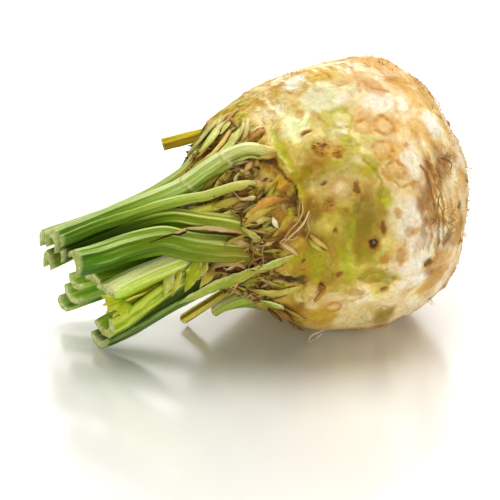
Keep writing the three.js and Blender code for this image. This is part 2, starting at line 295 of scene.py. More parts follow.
bulb = {
    "height": 54, "radius": 56.7, "bulge": 3.2, "crownReach": 18, "crownStart": 125,
    "knifeBlend": 1.2, "footCut": 0.9,
    # squares along each side of the cube, where they are finest, and by how much
    "cells": 126, "finest": (100, 60), "towardFront": 0.42,
    # degrees from the root end, degrees round from the top, distance from the middle
    "knifeCuts": [
        [108, 30, 58.4], [84, 38, 58.3], [93, 92, 58.6], [100, 118, 57.8], [72, 116, 58.2],
        [97, -25, 57.2], [62, 60, 57.6], [40, 40, 56.8], [35, 95, 56.4], [66, 20, 59.2], [88, 215, 58.2],
        [60, 250, 57.6], [95, 290, 58], [112, 255, 58], [118, 158, 56.8], [55, 320, 57.5], [18, 200, 55.8],
        [40, 170, 57.2], [75, 180, 58.5], [124, 60, 59],
    ],
    # from the root end, round, width in degrees, height
    "swellings": [
        [67, -9, 10, 2.6], [52, 0, 13, 1.6], [53, 126, 15, 2.4], [68, 138, 13, 1.4], [126, -37, 12, 1.2],
        [139, -46, 12, 2.2], [139, 95, 16, 1.6], [135, 135, 14, 1.4], [118, 50, 6, 0.9], [74, 84, 5, -1.5],
        [104, 92, 3.5, -1.6], [28, 285, 16, 1.6], [70, 300, 18, 1.4], [100, 235, 16, 1.2],
        [45, 215, 14, 1.5], [133, 220, 14, 1.6],
    ],
    "lowerNeck": (122, 140, 15, 15, 4.6),  # from the root end, round, both reaches, height
    # the colour of a patch's broken rim, and how rough a patch is if not plain
    "rims": {"white": "tan", "cream": "tan", "mint": "lime", "olive": "ochre", "lime": "ochre"},
    "roughPatches": {"brown": 0.7, "ochre": 0.62, "tan": 0.5}, "plainPatch": 0.36,
    # the colours of a ring scar's middle and rim
    "rings": {"ring": ("tan", "ochre"), "paleRing": ("cream", "tan"), "greenRing": ("paleGreen", "lime")},
}

# Soft patches: from the root end, round, reach along, reach round, colour, strength.
patches = [
    # the front: zones, white knife cuts, tans, browns, small marks
    [105, 20, 17.3, 9.4, "mint", 0.9], [125, 13, 6, 5.7, "mint", 0.8], [124, 26, 8.2, 7.4, "mint", 0.85],
    [129, 51, 5.7, 4.8, "olive", 0.8], [132, 58, 5.7, 4.4, "lime", 0.75],
    [127, 57, 3.7, 3.7, "paleGreen", 0.6], [109, 43, 3.7, 2.9, "limeBright", 0.9],
    [117, 45, 8.1, 5.9, "ochre", 0.55], [115, 61, 12.5, 7.7, "cream", 0.75],
    [102, 57, 4.4, 3.7, "lime", 0.8], [99, 69, 3.7, 5.1, "limeBright", 0.9],
    [104, 76, 6.6, 11.5, "olive", 0.7], [112, 72, 3.7, 2.2, "olive", 0.8],
    [109, 81, 5.7, 11.4, "olive", 0.75], [107, 90, 7.4, 5.7, "olive", 0.95],
    [121, 78, 5.9, 5.2, "paleGreen", 0.95], [114, 79, 2.6, 8.1, "limeBright", 1],
    [117, 90, 4.4, 5.2, "lime", 0.95], [127, 93, 6.7, 5.7, "lime", 0.85],
    [114, 99, 4.5, 7.6, "limeBright", 0.8], [122, 103, 9, 5.7, "olive", 0.85],
    [101, 104, 9, 4.7, "olive", 0.95], [106, 116, 7.6, 5.9, "white", 0.9], [91, 131, 6.4, 7.9, "olive", 1],
    [117, 122, 6.1, 8.5, "tan", 0.75], [125, 113, 4.9, 5.7, "cream", 0.7],
    [123, 141, 11.7, 12.7, "olive", 0.8], [88, 117, 17.2, 7.1, "cream", 0.8],
    [105, 130, 9.9, 7.9, "cream", 0.7], [101, 23, 3.7, 2.8, "white", 1], [87, 28, 8.3, 5.9, "white", 1],
    [77, 31, 3.8, 5.7, "white", 0.9], [67, 38, 11.3, 5.7, "cream", 0.9], [65, 40, 7.1, 5.7, "white", 0.8],
    [84, 58, 4.3, 8.9, "white", 0.85], [90, 78, 8.5, 9.6, "white", 1], [84, 93, 6.6, 11.5, "white", 0.95],
    [86, 104, 5.7, 11.4, "white", 0.7], [65, 69, 8.4, 4.6, "cream", 0.6], [71, 90, 8.4, 5.8, "cream", 0.7],
    [60, 103, 8.4, 11.6, "cream", 0.5], [97, 38, 4.6, 8.5, "tan", 0.85], [88, 39, 5.6, 6.6, "tan", 0.9],
    [93, 51, 8.5, 5.7, "tan", 0.8], [91, 60, 5.6, 3.3, "tan", 0.7], [75, 43, 7.1, 6.7, "tan", 0.6],
    [70, 49, 4.7, 4.8, "tan", 0.75], [97, 13, 7.6, 5.6, "tan", 0.7], [102, 6, 4.6, 5.6, "ochre", 0.7],
    [119, 1, 10.1, 7.1, "ochre", 0.75], [86, 20, 5.8, 4.2, "orange", 0.6],
    [72, 16, 8.6, 7.9, "ochre", 0.85], [72, 1, 14.6, 9.8, "tan", 0.7], [65, 21, 11.9, 9.9, "tan", 0.8],
    [53, 34, 6.3, 23.9, "tan", 0.6], [74, 64, 8.5, 5.8, "brown", 0.9], [78, 72, 8.4, 6.7, "brown", 0.9],
    [77, 80, 8.4, 6.8, "brown", 0.85], [63, 63, 5.6, 3.8, "ochre", 0.7], [64, 82, 7, 6.1, "tan", 0.8],
    [51, 69, 5.9, 7.9, "tan", 0.8], [73, 106, 8.5, 8.6, "brown", 0.9], [69, 104, 7.1, 4.8, "tan", 0.8],
    [72, 116, 11.9, 7.9, "ochre", 0.8], [61, 94, 6.3, 5.9, "ochre", 0.8], [61, 58, 4.2, 2.9, "umber", 0.9],
    [100, 81, 1.6, 2.9, "brown", 1], [98, 95, 2.7, 3, "ochre", 0.9], [87, 85, 2.3, 2.1, "tan", 1],
    [94, 75, 1.7, 2.1, "tan", 0.9], [90, 96, 1.7, 2.9, "tan", 0.9], [121, 31, 1.9, 0.9, "orange", 0.8],
    [115, 25, 2.1, 2.6, "orange", 0.5], [120, 19, 2.4, 2.4, "tan", 0.7], [104, 88, 4.4, 4.1, "ochre", 0.6],
    # round the crown
    [133, 9, 6, 8.2, "cream", 0.8], [133, 18, 3.1, 5.1, "paleGreen", 0.9],
    [134, 28, 3.1, 5.2, "paleGreen", 0.8], [133, 35, 2.6, 5.2, "limeBright", 0.7],
    [139, 44, 5.5, 3.7, "yellow", 0.9], [142, 47, 3.7, 2.4, "cream", 0.6],
    [137, 51, 3.7, 3.7, "ochre", 0.8], [147, 51, 3.7, 2.5, "yellow", 0.8],
    [139, 57, 4.3, 3.1, "ochre", 0.9], [136, 57, 2.4, 2.4, "brown", 0.7],
    [140, 70, 4.3, 3.1, "ochre", 0.85], [143, 79, 4.3, 3.7, "yellow", 0.5],
    [137, 81, 4.3, 3.1, "brown", 0.7], [137, 75, 3.1, 1.8, "yellow", 0.6],
    [129, 82, 2.4, 3.1, "olive", 0.9], [132, 78, 2.4, 4.3, "brown", 0.85],
    [128, 93, 4.3, 4.3, "lime", 0.95], [134, 94, 3.7, 4.3, "lime", 0.8],
    [133, 102, 3.7, 3.4, "olive", 0.8], [125, 102, 3.7, 7.7, "lime", 0.8],
    [129, 117, 3.8, 4.3, "paleGreen", 0.8], [124, 121, 3.8, 5.1, "cream", 0.7],
    [134, 124, 3.8, 5.4, "yellow", 0.7], [141, 129, 6.1, 5.4, "yellow", 0.7],
    [119, 135, 6.2, 7, "tan", 0.8], [128, 131, 2.5, 7, "ochre", 0.8], [125, 51, 3.7, 3.7, "olive", 0.9],
    # the dark patches in these rows are painted shade in crevices of the crown
    [129, 55, 4.3, 4.3, "olive", 0.8], [131, 47, 2.4, 3.7, "lime", 0.7], [135, 64, 2.3, 2.2, "dark", 0.9],
    [138, 38, 1.8, 1.5, "dark", 0.8], [148, 31, 5.9, 5.2, "dark", 0.85], [148, 53, 4.2, 1.1, "dark", 0.9],
    [148, 94, 3.7, 4.3, "umber", 0.9], [136, 107, 6.2, 2.2, "dark", 0.95],
    [156, 125, 7.7, 2.1, "dark", 0.8], [127, 161, 12.2, 5.2, "umber", 0.9],
    [130, 96, 1, 1.2, "umber", 0.9], [119, 128, 7, 6, "yellow", 0.75], [132, 134, 5, 4, "brown", 0.8],
    [127, 140, 6, 4, "ochre", 0.7], [135, 128, 4, 3, "umber", 0.75], [113, 145, 5, 4, "olive", 0.6],
    [120, 145, 7, 2.4, "brown", 0.7], [112, -1, 6, 5, "cream", 0.8], [114, -12, 6, 6, "cream", 0.7],
    [143, 86, 2.5, 3.7, "brown", 0.7], [158, 29, 4.2, 3.7, "umber", 0.8],
    # the side away from the front and the underside
    [95, 200, 13, 10, "cream", 0.8], [80, 230, 12, 12, "white", 0.7], [104, 262, 10, 12, "paleGreen", 0.8],
    [118, 235, 8, 14, "lime", 0.7], [120, 290, 7, 13, "lime", 0.7], [85, 285, 10, 9, "white", 0.8],
    [60, 250, 10, 10, "cream", 0.8], [90, 325, 9, 10, "cream", 0.7], [55, 318, 10, 9, "cream", 0.8],
    [30, 60, 8, 8, "cream", 0.6], [38, 180, 10, 10, "cream", 0.7], [35, 100, 8, 9, "tan", 0.8],
]

# Washes: from the root end, round, reach along, reach round, share kept of each colour.
washes = [
    [113, 70, 15, 18, (0.86, 0.84, 0.66)], [119, 58, 9, 8, (0.92, 0.92, 0.86)],
    [106, 92, 12, 16, (1, 1.02, 0.85)], [124, 90, 14, 22, (0.97, 0.97, 0.78)],
    [100, 5, 11, 10, (1.12, 1.26, 1.45)], [74, 11, 9, 8, (0.93, 0.86, 0.8)],
    [74, 54, 7, 8, (1.2, 1.26, 1.3)], [73, 75, 5, 7, (1.58, 1.8, 1.95)],
    [62, 40, 8, 10, (1.12, 1.16, 1.2)], [60, 68, 9, 16, (1.07, 1.1, 1.14)],
    [121, 24, 7, 7, (1.03, 1.09, 1.08)], [128, 33, 5, 5, (1.03, 1.06, 1.02)],
    [110, 20, 10, 8, (0.94, 0.95, 1)], [100, 109, 9, 10, (1.1, 1.15, 1.05)],
    [77, 122, 8, 10, (1.06, 1.1, 1.06)], [138, 40, 4, 4, (0.66, 0.56, 0.45)],
    [128, 69, 6, 7, (0.77, 0.66, 0.36)], [120, 48, 6, 6, (0.88, 0.82, 0.66)],
    [108, 47, 6, 5, (0.82, 0.82, 0.6)], [112, 80, 24, 40, (0.98, 0.96, 0.82)],
    [103, 66, 9, 9, (0.96, 0.92, 0.85)], [122, 2, 9, 10, (1.07, 1.22, 1.5)],
    [110, 36, 5, 4, (1.12, 1.16, 1.75)], [89, 0, 7, 7, (1.02, 1.1, 1.3)],
    [72, 86, 5, 6, (1.42, 1.58, 1.8)], [79, 98, 7, 7, (1.18, 1.24, 1.25)],
    [79, 112, 7, 7, (1.14, 1.3, 1.65)], [98, 81, 6, 6, (0.94, 0.9, 0.8)],
    [111, 115, 7, 7, (0.95, 0.9, 0.78)], [101, 71, 4, 4, (1.1, 1.12, 1)],
    [122, 13, 5, 5, (0.95, 0.87, 0.72)], [112, 5, 5, 5, (1.03, 1.15, 1.4)],
    [92, 104, 4, 4, (0.87, 0.88, 0.7)], [125, 84, 5, 6, (0.92, 0.88, 0.6)],
    [139, 52, 4, 6, (1.18, 1.22, 0.9)], [100, 26, 5, 5, (0.95, 0.9, 0.82)],
    [99, 50, 4, 4, (1, 1.08, 1.22)], [117, 44, 4, 4, (1.12, 1.2, 1.2)],
    [96, 24, 22, 24, (0.96, 0.955, 0.96)], [95, 58, 6, 7, (0.94, 0.93, 0.85)],
    [128, 111, 5, 8, (0.91, 0.91, 0.72)], [129, 89, 5, 8, (0.93, 0.9, 0.75)],
    [97, 108, 6, 7, (0.93, 0.92, 0.85)], [111, -2, 5, 4, (1.06, 1.18, 1.5)],
    [114, -14, 5, 5, (1.06, 1.14, 1.3)], [75, 91, 5, 5, (1.16, 1.3, 1.5)],
    [55, 58, 5, 5, (0.9, 0.82, 0.7)], [76, 50, 5, 5, (0.88, 0.86, 0.78)],
    [86, 113, 5, 5, (0.92, 0.88, 0.76)], [101, 110, 5, 5, (0.9, 0.86, 0.75)],
    [131, 127, 6, 6, (0.8, 0.76, 0.55)], [139, 117, 5, 5, (0.82, 0.78, 0.55)],
    [63, 127, 5, 5, (1.06, 1.12, 1.22)], [96, 20, 20, 20, (0.975, 0.98, 0.98)],
    [118, 127, 8, 7, (0.94, 0.92, 0.7)],
]

# Creases, streaks and arcs: points (from the root end, round), width, colour, strength,
# how deep the crease is.
strokes = [
    ([[132, 22], [133, 32], [132, 41], [132, 46]], 3, "limeBright", 0.7, 0.1),
    ([[99, 56], [96, 62], [91, 66], [84, 65]], 1.6, "ochre", 0.75, 0.25),
    ([[104, 53], [100, 58], [99, 63], [100, 68]], 1.8, "olive", 0.7, 0.15),
    ([[89, 5], [91, 14], [93, 22]], 1.6, "orange", 0.7, 0.2),
    ([[77, 3], [76, 12], [70, 16], [63, 14]], 1.5, "ochre", 0.85, 0.3),
    ([[90, 17], [87, 22], [80, 23]], 1.8, "ochre", 0.85, 0.3),
    ([[60, 14], [59, 24]], 1, "brown", 0.9, 0.3),
    ([[80, 59], [78, 65], [77, 73], [76, 82]], 1.6, "brown", 0.9, 0.4),
    ([[74, 58], [71, 66], [72, 74]], 0.9, "umber", 0.8, 0.4),
    ([[75, 76], [73, 81], [74, 86]], 0.8, "umber", 0.7, 0.3),
    ([[78, 40], [77, 47], [78, 52]], 1.6, "tan", 0.85, 0.1),
    ([[103, 27], [102, 32], [104, 38], [107, 41]], 1.1, "lime", 0.85, 0.1),
    ([[108, 60], [108, 64], [110, 66]], 1.1, "brown", 0.85, 0.3),
    ([[117, 59], [115, 56], [110, 58]], 0.8, "tan", 0.6, 0.1),
    ([[121, 86], [119, 93], [119, 101]], 1.1, "ochre", 0.7, 0.3),
    ([[117, 96], [115, 103], [117, 104]], 1, "tan", 0.8, 0.2),
    ([[109, 104], [103, 101], [97, 100]], 1, "olive", 0.9, 0.2),
    ([[110, 119], [106, 116], [102, 112]], 1.1, "tan", 0.9, 0.2),
    ([[88, 117], [83, 114], [76, 111]], 1.1, "tan", 0.8, 0.2),
    ([[96, 129], [94, 122], [91, 124]], 1, "ochre", 0.8, 0.2),
    ([[105, 4], [101, 5], [100, 10]], 0.8, "brown", 0.8, 0.2),
    ([[101, 13], [99, 16], [96, 16]], 0.9, "brown", 0.7, 0.2),
    ([[121, 1], [118, 2], [117, 7]], 1, "brown", 0.7, 0.2),
    ([[115, 71], [113, 74], [110, 74]], 1, "olive", 0.9, 0.2),
    ([[69, 91], [61, 100], [65, 103]], 0.7, "brown", 0.7, 0.2),
    ([[62, 80], [66, 83], [63, 89]], 0.6, "brown", 0.8, 0.2),
    ([[137, 36], [136, 46], [134, 53], [132, 62]], 1.9, "umber", 0.85, 0.7),
    ([[139, 56], [137, 60], [135, 68], [132, 74]], 1.7, "brown", 0.7, 0.3),
    ([[132, 70], [131, 77], [132, 82]], 2, "umber", 0.6, 0.4),
    ([[134, 35], [133, 42], [132, 48]], 1.2, "paleGreen", 0.7, -0.5),
    ([[129, 82], [126, 86], [123, 89]], 0.9, "umber", 0.8, 0.4),
    # the dark crease below is painted shade in the crease, over a real dip
    ([[141, 105], [136, 107], [130, 108]], 2.6, "dark", 0.8, 0.9),
    ([[133, 60], [134, 66], [133, 70]], 2.6, "umber", 0.8, 0.9),
    ([[129, 107], [129, 117], [127, 124]], 0.9, "brown", 0.7, 0.3),
    ([[124, 102], [119, 106], [118, 102]], 0.9, "ochre", 0.6, 0.2),
    ([[145, 76], [143, 83], [142, 90]], 1.1, "umber", 0.6, 0.3),
    ([[31, 20], [27, 48], [23, 84]], 1.2, "brown", 0.75, 0.6),
    ([[41, 205], [35, 232], [31, 262]], 1.2, "brown", 0.75, 0.6),
    ([[16, 120], [18, 165], [14, 215]], 1.3, "umber", 0.7, 0.7),
    ([[46, 312], [40, 330], [36, 355]], 1.1, "brown", 0.7, 0.5),
    ([[38, 130], [42, 150], [40, 172]], 1.1, "brown", 0.7, 0.5),
    ([[9, 320], [16, 345], [24, 8]], 1, "umber", 0.6, 0.5),
]

# Where side roots were cut: from the root end, round, reach along, reach round, kind.
scars = [
    [106, 32, 4.4, 5.4, "greenRing"], [90, 40, 4.6, 5, "ring"], [99, 39, 3.2, 4, "ring"],
    [95, 50, 4.6, 4, "ring"], [115, 62, 4, 4.4, "paleRing"], [92, 59, 4.2, 3.6, "ring"],
    [118, 42, 4.2, 4, "knob"], [113, 47, 2.5, 2.6, "knob"], [109, 63, 1.2, 2.9, "spot"],
    [121, 58, 1.6, 0.8, "spot"], [121, 68, 2.7, 2.8, "knob"], [119, 80, 0.9, 0.9, "spot"],
    [104, 87, 2.5, 2.6, "hole"], [100, 81, 1.6, 2.8, "spot"], [89, 84, 2, 2.7, "stain"],
    [99, 94, 2.8, 2.6, "stain"], [92, 94, 2, 3.4, "stain"], [117, 101, 1.5, 2, "spot"],
    [108, 112, 3.7, 2.4, "stain"], [116, 121, 2.9, 3.4, "ring"], [120, 21, 1.9, 2, "stain"],
    [114, 26, 1.7, 2.4, "stain"], [121, 32, 2.3, 0.8, "spot"], [64, 58, 3.6, 3.4, "knob"],
    [78, 101, 2.2, 1.8, "hole"], [94, 75, 1.2, 1.8, "stain"], [97, 111, 2.2, 1.6, "spot"],
    [124, 110, 1.2, 3.6, "spot"], [84, 50, 1.6, 1.2, "stain"], [86, 66, 1.2, 1.6, "stain"],
    [104, 200, 3.4, 3.6, "ring"], [88, 220, 4, 3.6, "ring"], [76, 240, 3, 3.2, "ring"],
    [98, 250, 2.4, 2.6, "hole"], [110, 275, 3.4, 3.6, "paleRing"], [84, 300, 4, 4, "ring"],
    [66, 270, 3, 3, "knob"], [100, 330, 3, 3.4, "ring"], [72, 335, 2.6, 2.6, "spot"],
    [50, 230, 3.4, 3.4, "knob"], [48, 290, 3, 3, "hole"], [40, 340, 3, 2.6, "knob"],
    [28, 120, 3.4, 3, "knob"], [24, 40, 2.8, 2.8, "hole"], [45, 150, 3, 3, "ring"],
    [60, 160, 2.6, 2.6, "spot"], [30, 240, 3.6, 3.2, "ring"], [14, 300, 4, 3.6, "knob"],
    [8, 80, 3, 3, "hole"], [54, 30, 3, 3, "ring"], [44, 70, 2.6, 2.4, "knob"], [56, 100, 2.4, 2.6, "knob"],
    [58, 80, 2, 2.4, "spot"], [20, 170, 3, 2.6, "knob"], [36, 205, 3.2, 3, "knob"],
    [34, 305, 2.6, 2.8, "knob"], [18, 15, 2.6, 2.4, "knob"], [38, 25, 2.6, 2.8, "knob"],
    [50, 190, 2.6, 2.6, "stain"], [12, 225, 2.4, 2.4, "spot"], [42, 262, 3, 2.6, "stain"],
    [27, 350, 2.2, 2, "spot"], [33, 84, 2.4, 2.2, "stain"], [22, 270, 2.4, 2.2, "stain"],
    [44, 115, 2.2, 2.4, "spot"],
]


def direction(fromRoot, around):  # unit vectors; around 0 is up, 90 toward -Y
    a, b = np.radians(fromRoot), np.radians(around)
    return np.stack([np.cos(a), -np.sin(a) * np.sin(b), np.sin(a) * np.cos(b)], -1)


def painted(tint, *coats):  # each coat's colour mixed over the last by its share
    for colour, share in coats:
        tint = mix(tint, flesh[colour] if isinstance(colour, str) else colour, share)
    return tint


def softMin(a, b, width):  # the smaller of two lengths with a soft change
    h = np.maximum(0, 1 - np.abs(a - b) / (4 * width))
    return np.minimum(a, b) - h * h * width


def roundRadius(v):  # the uncut bulb: a bulged ball, a crown cone, swellings
    fromRoot = np.degrees(np.arccos(np.clip(v[:, 0], -1, 1)))
    cone = np.maximum(0, (fromRoot - bulb["crownStart"]) / (180 - bulb["crownStart"]))
    r = bulb["radius"] + bulb["bulge"] * np.sin(np.radians(fromRoot)) ** 2
    r = r + bulb["crownReach"] * cone ** 1.1
    for a, b, width, height in bulb["swellings"]:
        away = np.degrees(np.arccos(np.clip(v @ direction(a, b), -1, 1))) / width
        r = r + height * np.exp(-away ** 2)
    return r


def skinRadius(v):  # the uncut bulb cut back to each knife plane, softly
    r = roundRadius(v)
    planes = [(direction(a, b), far) for a, b, far in bulb["knifeCuts"]]
    planes.append((np.array([0, 0, -1.0]), bulb["height"] + bulb["footCut"]))
    for n, far in planes:
        facing = v @ n
        cut = softMin(r, far / np.maximum(facing, 0.5), bulb["knifeBlend"])
        r = np.where(facing > 0.5, cut, r)
    return r


def ballOfSquares(cells, push):
    # a cube's six gridded faces pushed out to a ball; points shared along the edges
    # are merged, and the grid is drawn closer together toward the direction push
    t = np.tan(np.linspace(-1, 1, cells + 1) * np.pi / 4)
    a, b = np.meshgrid(t, t, indexing="ij")
    one = np.ones_like(a)
    sides = [(one, a, b), (-one, b, a), (b, one, a), (a, -one, b), (a, b, one), (b, a, -one)]
    points = np.concatenate([np.stack(s, -1).reshape(-1, 3) for s in sides])
    faces = np.concatenate([gridFaces(cells + 1, cells + 1, k * (cells + 1) ** 2) for k in range(6)])
    _, first, back = np.unique(np.round(points, 6), axis=0, return_index=True, return_inverse=True)
    v = unit(points[first])
    faces = back.reshape(-1)[faces]
    c = v[faces]
    outward = np.einsum("ij,ij->i", np.cross(c[:, 1] - c[:, 0], c[:, 2] - c[:, 0]), c.mean(1)) > 0
    faces[~outward] = faces[~outward][:, ::-1]
    return unit(v + push), faces


def markReach(v, a, b, reachAlong, reachRound):
    # how far each point is from a mark on the skin, counted in the mark's own reaches,
    # and its turn round the mark; points beyond the mark's side of the bulb get farOff
    farOff = 99
    centre = direction(a, b)
    along = direction(a + 90, b)
    across = np.cross(along, centre)
    x = (v @ along) * skinReach / reachAlong
    y = (v @ across) * skinReach / reachRound
    return np.where(v @ centre > 0.2, np.hypot(x, y), farOff), np.degrees(np.arctan2(y, x))


def strokeReach(v, points, width):  # how far each point is from a line on the skin, in half widths
    rows = direction(*np.array(points, float).T)
    steps = np.linspace(0, len(rows) - 1, 8 * len(rows))
    line = unit(np.stack([np.interp(steps, np.arange(len(rows)), rows[:, k]) for k in range(3)], -1))
    near = (v @ line.T).max(1).clip(-1, 1)
    return np.arccos(near) * skinReach / (width / 2)


def skinFields(v):
    # noises over the skin, from wide to fine; the points are stirred first so that edges
    # wander, and fibres and ridges are drawn out round the bulb or along it
    f = SimpleNamespace()
    f.fromRoot = np.degrees(np.arccos(np.clip(v[:, 0], -1, 1)))
    f.around = np.degrees(np.arctan2(-v[:, 1], v[:, 2]))
    p = v * skinReach
    p1 = stirred(p, 15, 5, 31)
    p2 = stirred(p1, 6, 1.8, 41)
    f.big, f.mid, f.fine = cloud(p1, 15, 1), cloud(p2, 6, 2), cloud(p2, 2.4, 3)
    f.mid2, f.fine2, f.wide = cloud(p2, 8, 4), cloud(p, 1.3, 5, 2), cloud(p, 24, 6, 2)
    f.swirl = softNoise(p2, 6.5, 8)
    f.loose = unit(stirred(p, 7, 2.0, 61))
    f.tight = unit(stirred(stirred(p, 3.2, 0.7, 71), 1.2, 0.25, 75))
    arcRound = np.radians(f.around) * np.sin(np.radians(f.fromRoot)) * skinReach + 3 * f.mid
    arcRoot = np.radians(f.fromRoot) * skinReach + 2 * f.mid2
    f.fibre = cloud(np.stack([arcRoot / 1.5, arcRound / 11, 0 * arcRoot + 4], -1), 1, 12, 2)
    f.ridges = cloud(np.stack([arcRound / 3.4, arcRoot / 12, 0 * arcRoot], -1), 1, 14, 2)
    f.ridges2 = cloud(np.stack([arcRound / 1.3, arcRoot / 6, 0 * arcRoot], -1), 1, 15, 2)
    return f


def addZones(f, cutDepth):
    # shares of each zone, with wandering edges: crown and its gaps between leaf bases, painted
    # dark as shade, green shoulder, neck, brown skin where no knife went, and a torn band down
    # the front of the root end
    a = f.fromRoot + 5 * f.big + 2.5 * f.mid
    b = f.around + 7 * f.wide + 4 * f.mid2
    f.fromRootWild = a
    f.crown = ease(138, 146, a)
    f.gap = f.crown * ease(0.05, 0.6, -f.ridges + 0.45 * f.mid)
    f.lifted = ease(129, 140, a)
    f.shoulder = ease(88, 106, a) * (1 - f.crown)
    f.neck = ease(118, 132, a) * (1 - f.crown)
    rootEnd = 1 - ease(58, 76, a + 6 * f.fine)
    topBand = ease(-75, -55, b) * (1 - ease(2, 22, b)) * ease(48, 60, a) * (1 - ease(126, 134, a))
    backBand = ease(0.05, 0.5, f.wide + 0.4 * f.mid) * ease(130, 150, np.abs(b))
    skin = np.clip(np.maximum(np.maximum(rootEnd, topBand), backBand), 0, 1)
    worn = ease(0.5, 1.6, cutDepth + 0.5 * f.mid)
    f.skin = skin * (1 - 0.6 * worn) * ease(-0.75, 0.1, f.mid2 + 0.4 * f.fine)
    torn = np.exp(-((a - 74 - 0.08 * (f.around - 75)) / 9.5) ** 2)
    torn = torn * ease(48, 62, b) * (1 - ease(94, 106, b))
    f.torn = torn * ease(-0.8, 0.1, f.fibre + 0.5 * f.mid)


def fleshTint(f):  # pale flesh, green shoulder, ripe neck, tan veins and brown skin in turn
    green = painted(flesh["paleGreen"], ("lime", ease(-0.25, 0.6, f.mid + 0.3 * f.fine)),
                    ("olive", 0.45 * ease(0.1, 0.8, -f.big + 0.5 * f.mid2)))
    ripe = painted(flesh["lime"], ("yellow", ease(-0.4, 0.3, f.mid2)),
                   ("olive", 0.7 * ease(0.0, 0.6, f.mid + 0.4 * f.ridges)),
                   ("paleGreen", 0.6 * ease(0.2, 0.7, f.ridges2 + 0.4 * f.fine)),
                   ("brown", 0.55 * ease(0.25, 0.8, -f.ridges + 0.5 * f.fine)))
    bark = painted(flesh["tan"], ("ochre", ease(-0.4, 0.5, f.mid2 + 0.4 * f.fibre)),
                   ("brown", 0.75 * ease(0.0, 0.7, f.fine + 0.8 * f.fibre)),
                   ("cream", 0.8 * ease(0.05, 0.6, -f.fibre - 0.4 * f.mid2)))
    vein = np.exp(-(f.swirl / 0.09) ** 2)
    return painted(flesh["cream"], ("white", 0.6 * ease(-0.2, 0.6, f.mid)),
                   ("tan", 0.6 * ease(-0.1, 0.7, f.mid2 + 0.3 * f.fine)),
                   (green, 0.85 * f.shoulder * ease(-0.9, 0.1, f.mid2 + 0.3 * f.mid)),
                   (ripe, f.neck), ("tan", 0.6 * vein * ease(-0.5, 0.5, f.fine)), (bark, 0.85 * f.skin))


def paintPatches(f, tint, rough):  # strength ^ 0.7 inside, easing off at one reach, with a thin rim
    for a, b, along, across, colour, strength in patches:
        reach = markReach(f.loose, a, b, along, across)[0] + 0.22 * f.mid + 0.14 * f.fine
        cover = strength ** 0.7 * (1 - ease(0.55, 1.15, reach))
        cover = cover * (0.82 + 0.18 * ease(-0.5, 0.5, f.fine))
        tint = painted(tint, (colour, cover))
        if colour in bulb["rims"]:
            line = np.exp(-((reach - 0.98) * min(along, across) / 0.7) ** 2)
            broken = ease(-0.1, 0.4, f.mid2 + 0.4 * f.swirl)
            tint = painted(tint, (bulb["rims"][colour], 0.42 * line * broken))
        rough = rough * (1 - cover) + bulb["roughPatches"].get(colour, bulb["plainPatch"]) * cover
    return tint, rough


def paintTorn(f, tint, rough):  # torn brown skin with umber and cream fibres
    torn = painted(flesh["ochre"], ("brown", ease(-0.4, 0.5, f.fibre)))
    tint = painted(tint, (torn, 0.85 * f.torn),
                   ("umber", f.torn * 0.8 * ease(0.15, 0.7, f.fibre + 0.4 * f.fine)),
                   ("cream", f.torn * 0.7 * ease(0.1, 0.6, -f.fibre - 0.4 * f.fine2)))
    return tint, np.maximum(rough, 0.7 * f.torn)


def washTint(f, tint):  # each wash scales the colours by its shares, up to the palest flesh
    for a, b, along, across, kept in washes:
        reach, _ = markReach(f.loose, a, b, along, across)
        cover = 1 - ease(0.3, 1.2, reach + 0.2 * f.mid)
        tint = tint * (1 + cover[:, None] * (np.array(kept) ** 2.2 - 1))
    return np.minimum(tint, flesh["palest"])


def paintStrokes(f, tint):  # the tint, and how deep the creases are
    depth = np.zeros(len(tint))
    for points, width, colour, strength, deep in strokes:
        reach = strokeReach(f.tight, points, width) + 0.3 * f.fine
        cover = 1 - ease(0.4, 1.3, reach)
        tint = painted(tint, (colour, strength * cover * (0.75 + 0.25 * ease(-0.4, 0.4, f.fine2))))
        depth = depth + deep * cover
    return tint, depth


def paintCrown(f, tint, rough):  # leaf bases as ridges of ochre, yellow and olive, with umber and dark painted as shade in the gaps
    base = painted(flesh["ochre"], ("yellow", ease(-0.3, 0.5, f.ridges + 0.4 * f.mid2)),
                   ("olive", 0.6 * ease(0.0, 0.6, f.big + 0.4 * f.mid2)),
                   ("cream", 0.4 * ease(0.25, 0.8, f.ridges2 + 0.3 * f.ridges)),
                   ("brown", 0.8 * ease(144, 154, f.fromRootWild + 6 * f.mid)),
                   # umber toward the top and in the gaps, dark in the gaps: the gap colours are painted
                   # shade
                   ("umber", 0.85 * ease(0.15, 0.7, f.gap + 0.35 * ease(146, 156, f.fromRootWild))),
                   ("dark", 0.9 * ease(0.5, 0.9, f.gap)))
    return painted(tint, (base, 0.85 * f.crown)), rough * (1 - f.crown) + 0.66 * f.crown


def skinHeight(f, depth):  # what lumps, the lower neck, skin fibres, ridges and creases add
    *neck, neckHeight = bulb["lowerNeck"]
    reach, _ = markReach(f.loose, *neck)
    return [0.5 * f.big, 0.28 * f.mid, 0.08 * f.fine, neckHeight * np.exp(-reach * reach),
            f.skin * (0.25 * f.mid2 + 0.22 * f.fine + 0.12 * f.fine2 + 0.35 * f.fibre),
            f.torn * (0.45 * f.fibre + 0.3 * f.fine - 0.2),
            f.lifted * (1.2 * f.ridges + 0.45 * f.ridges2 + 0.3 * f.fine), -2.0 * f.gap * f.lifted, -depth]


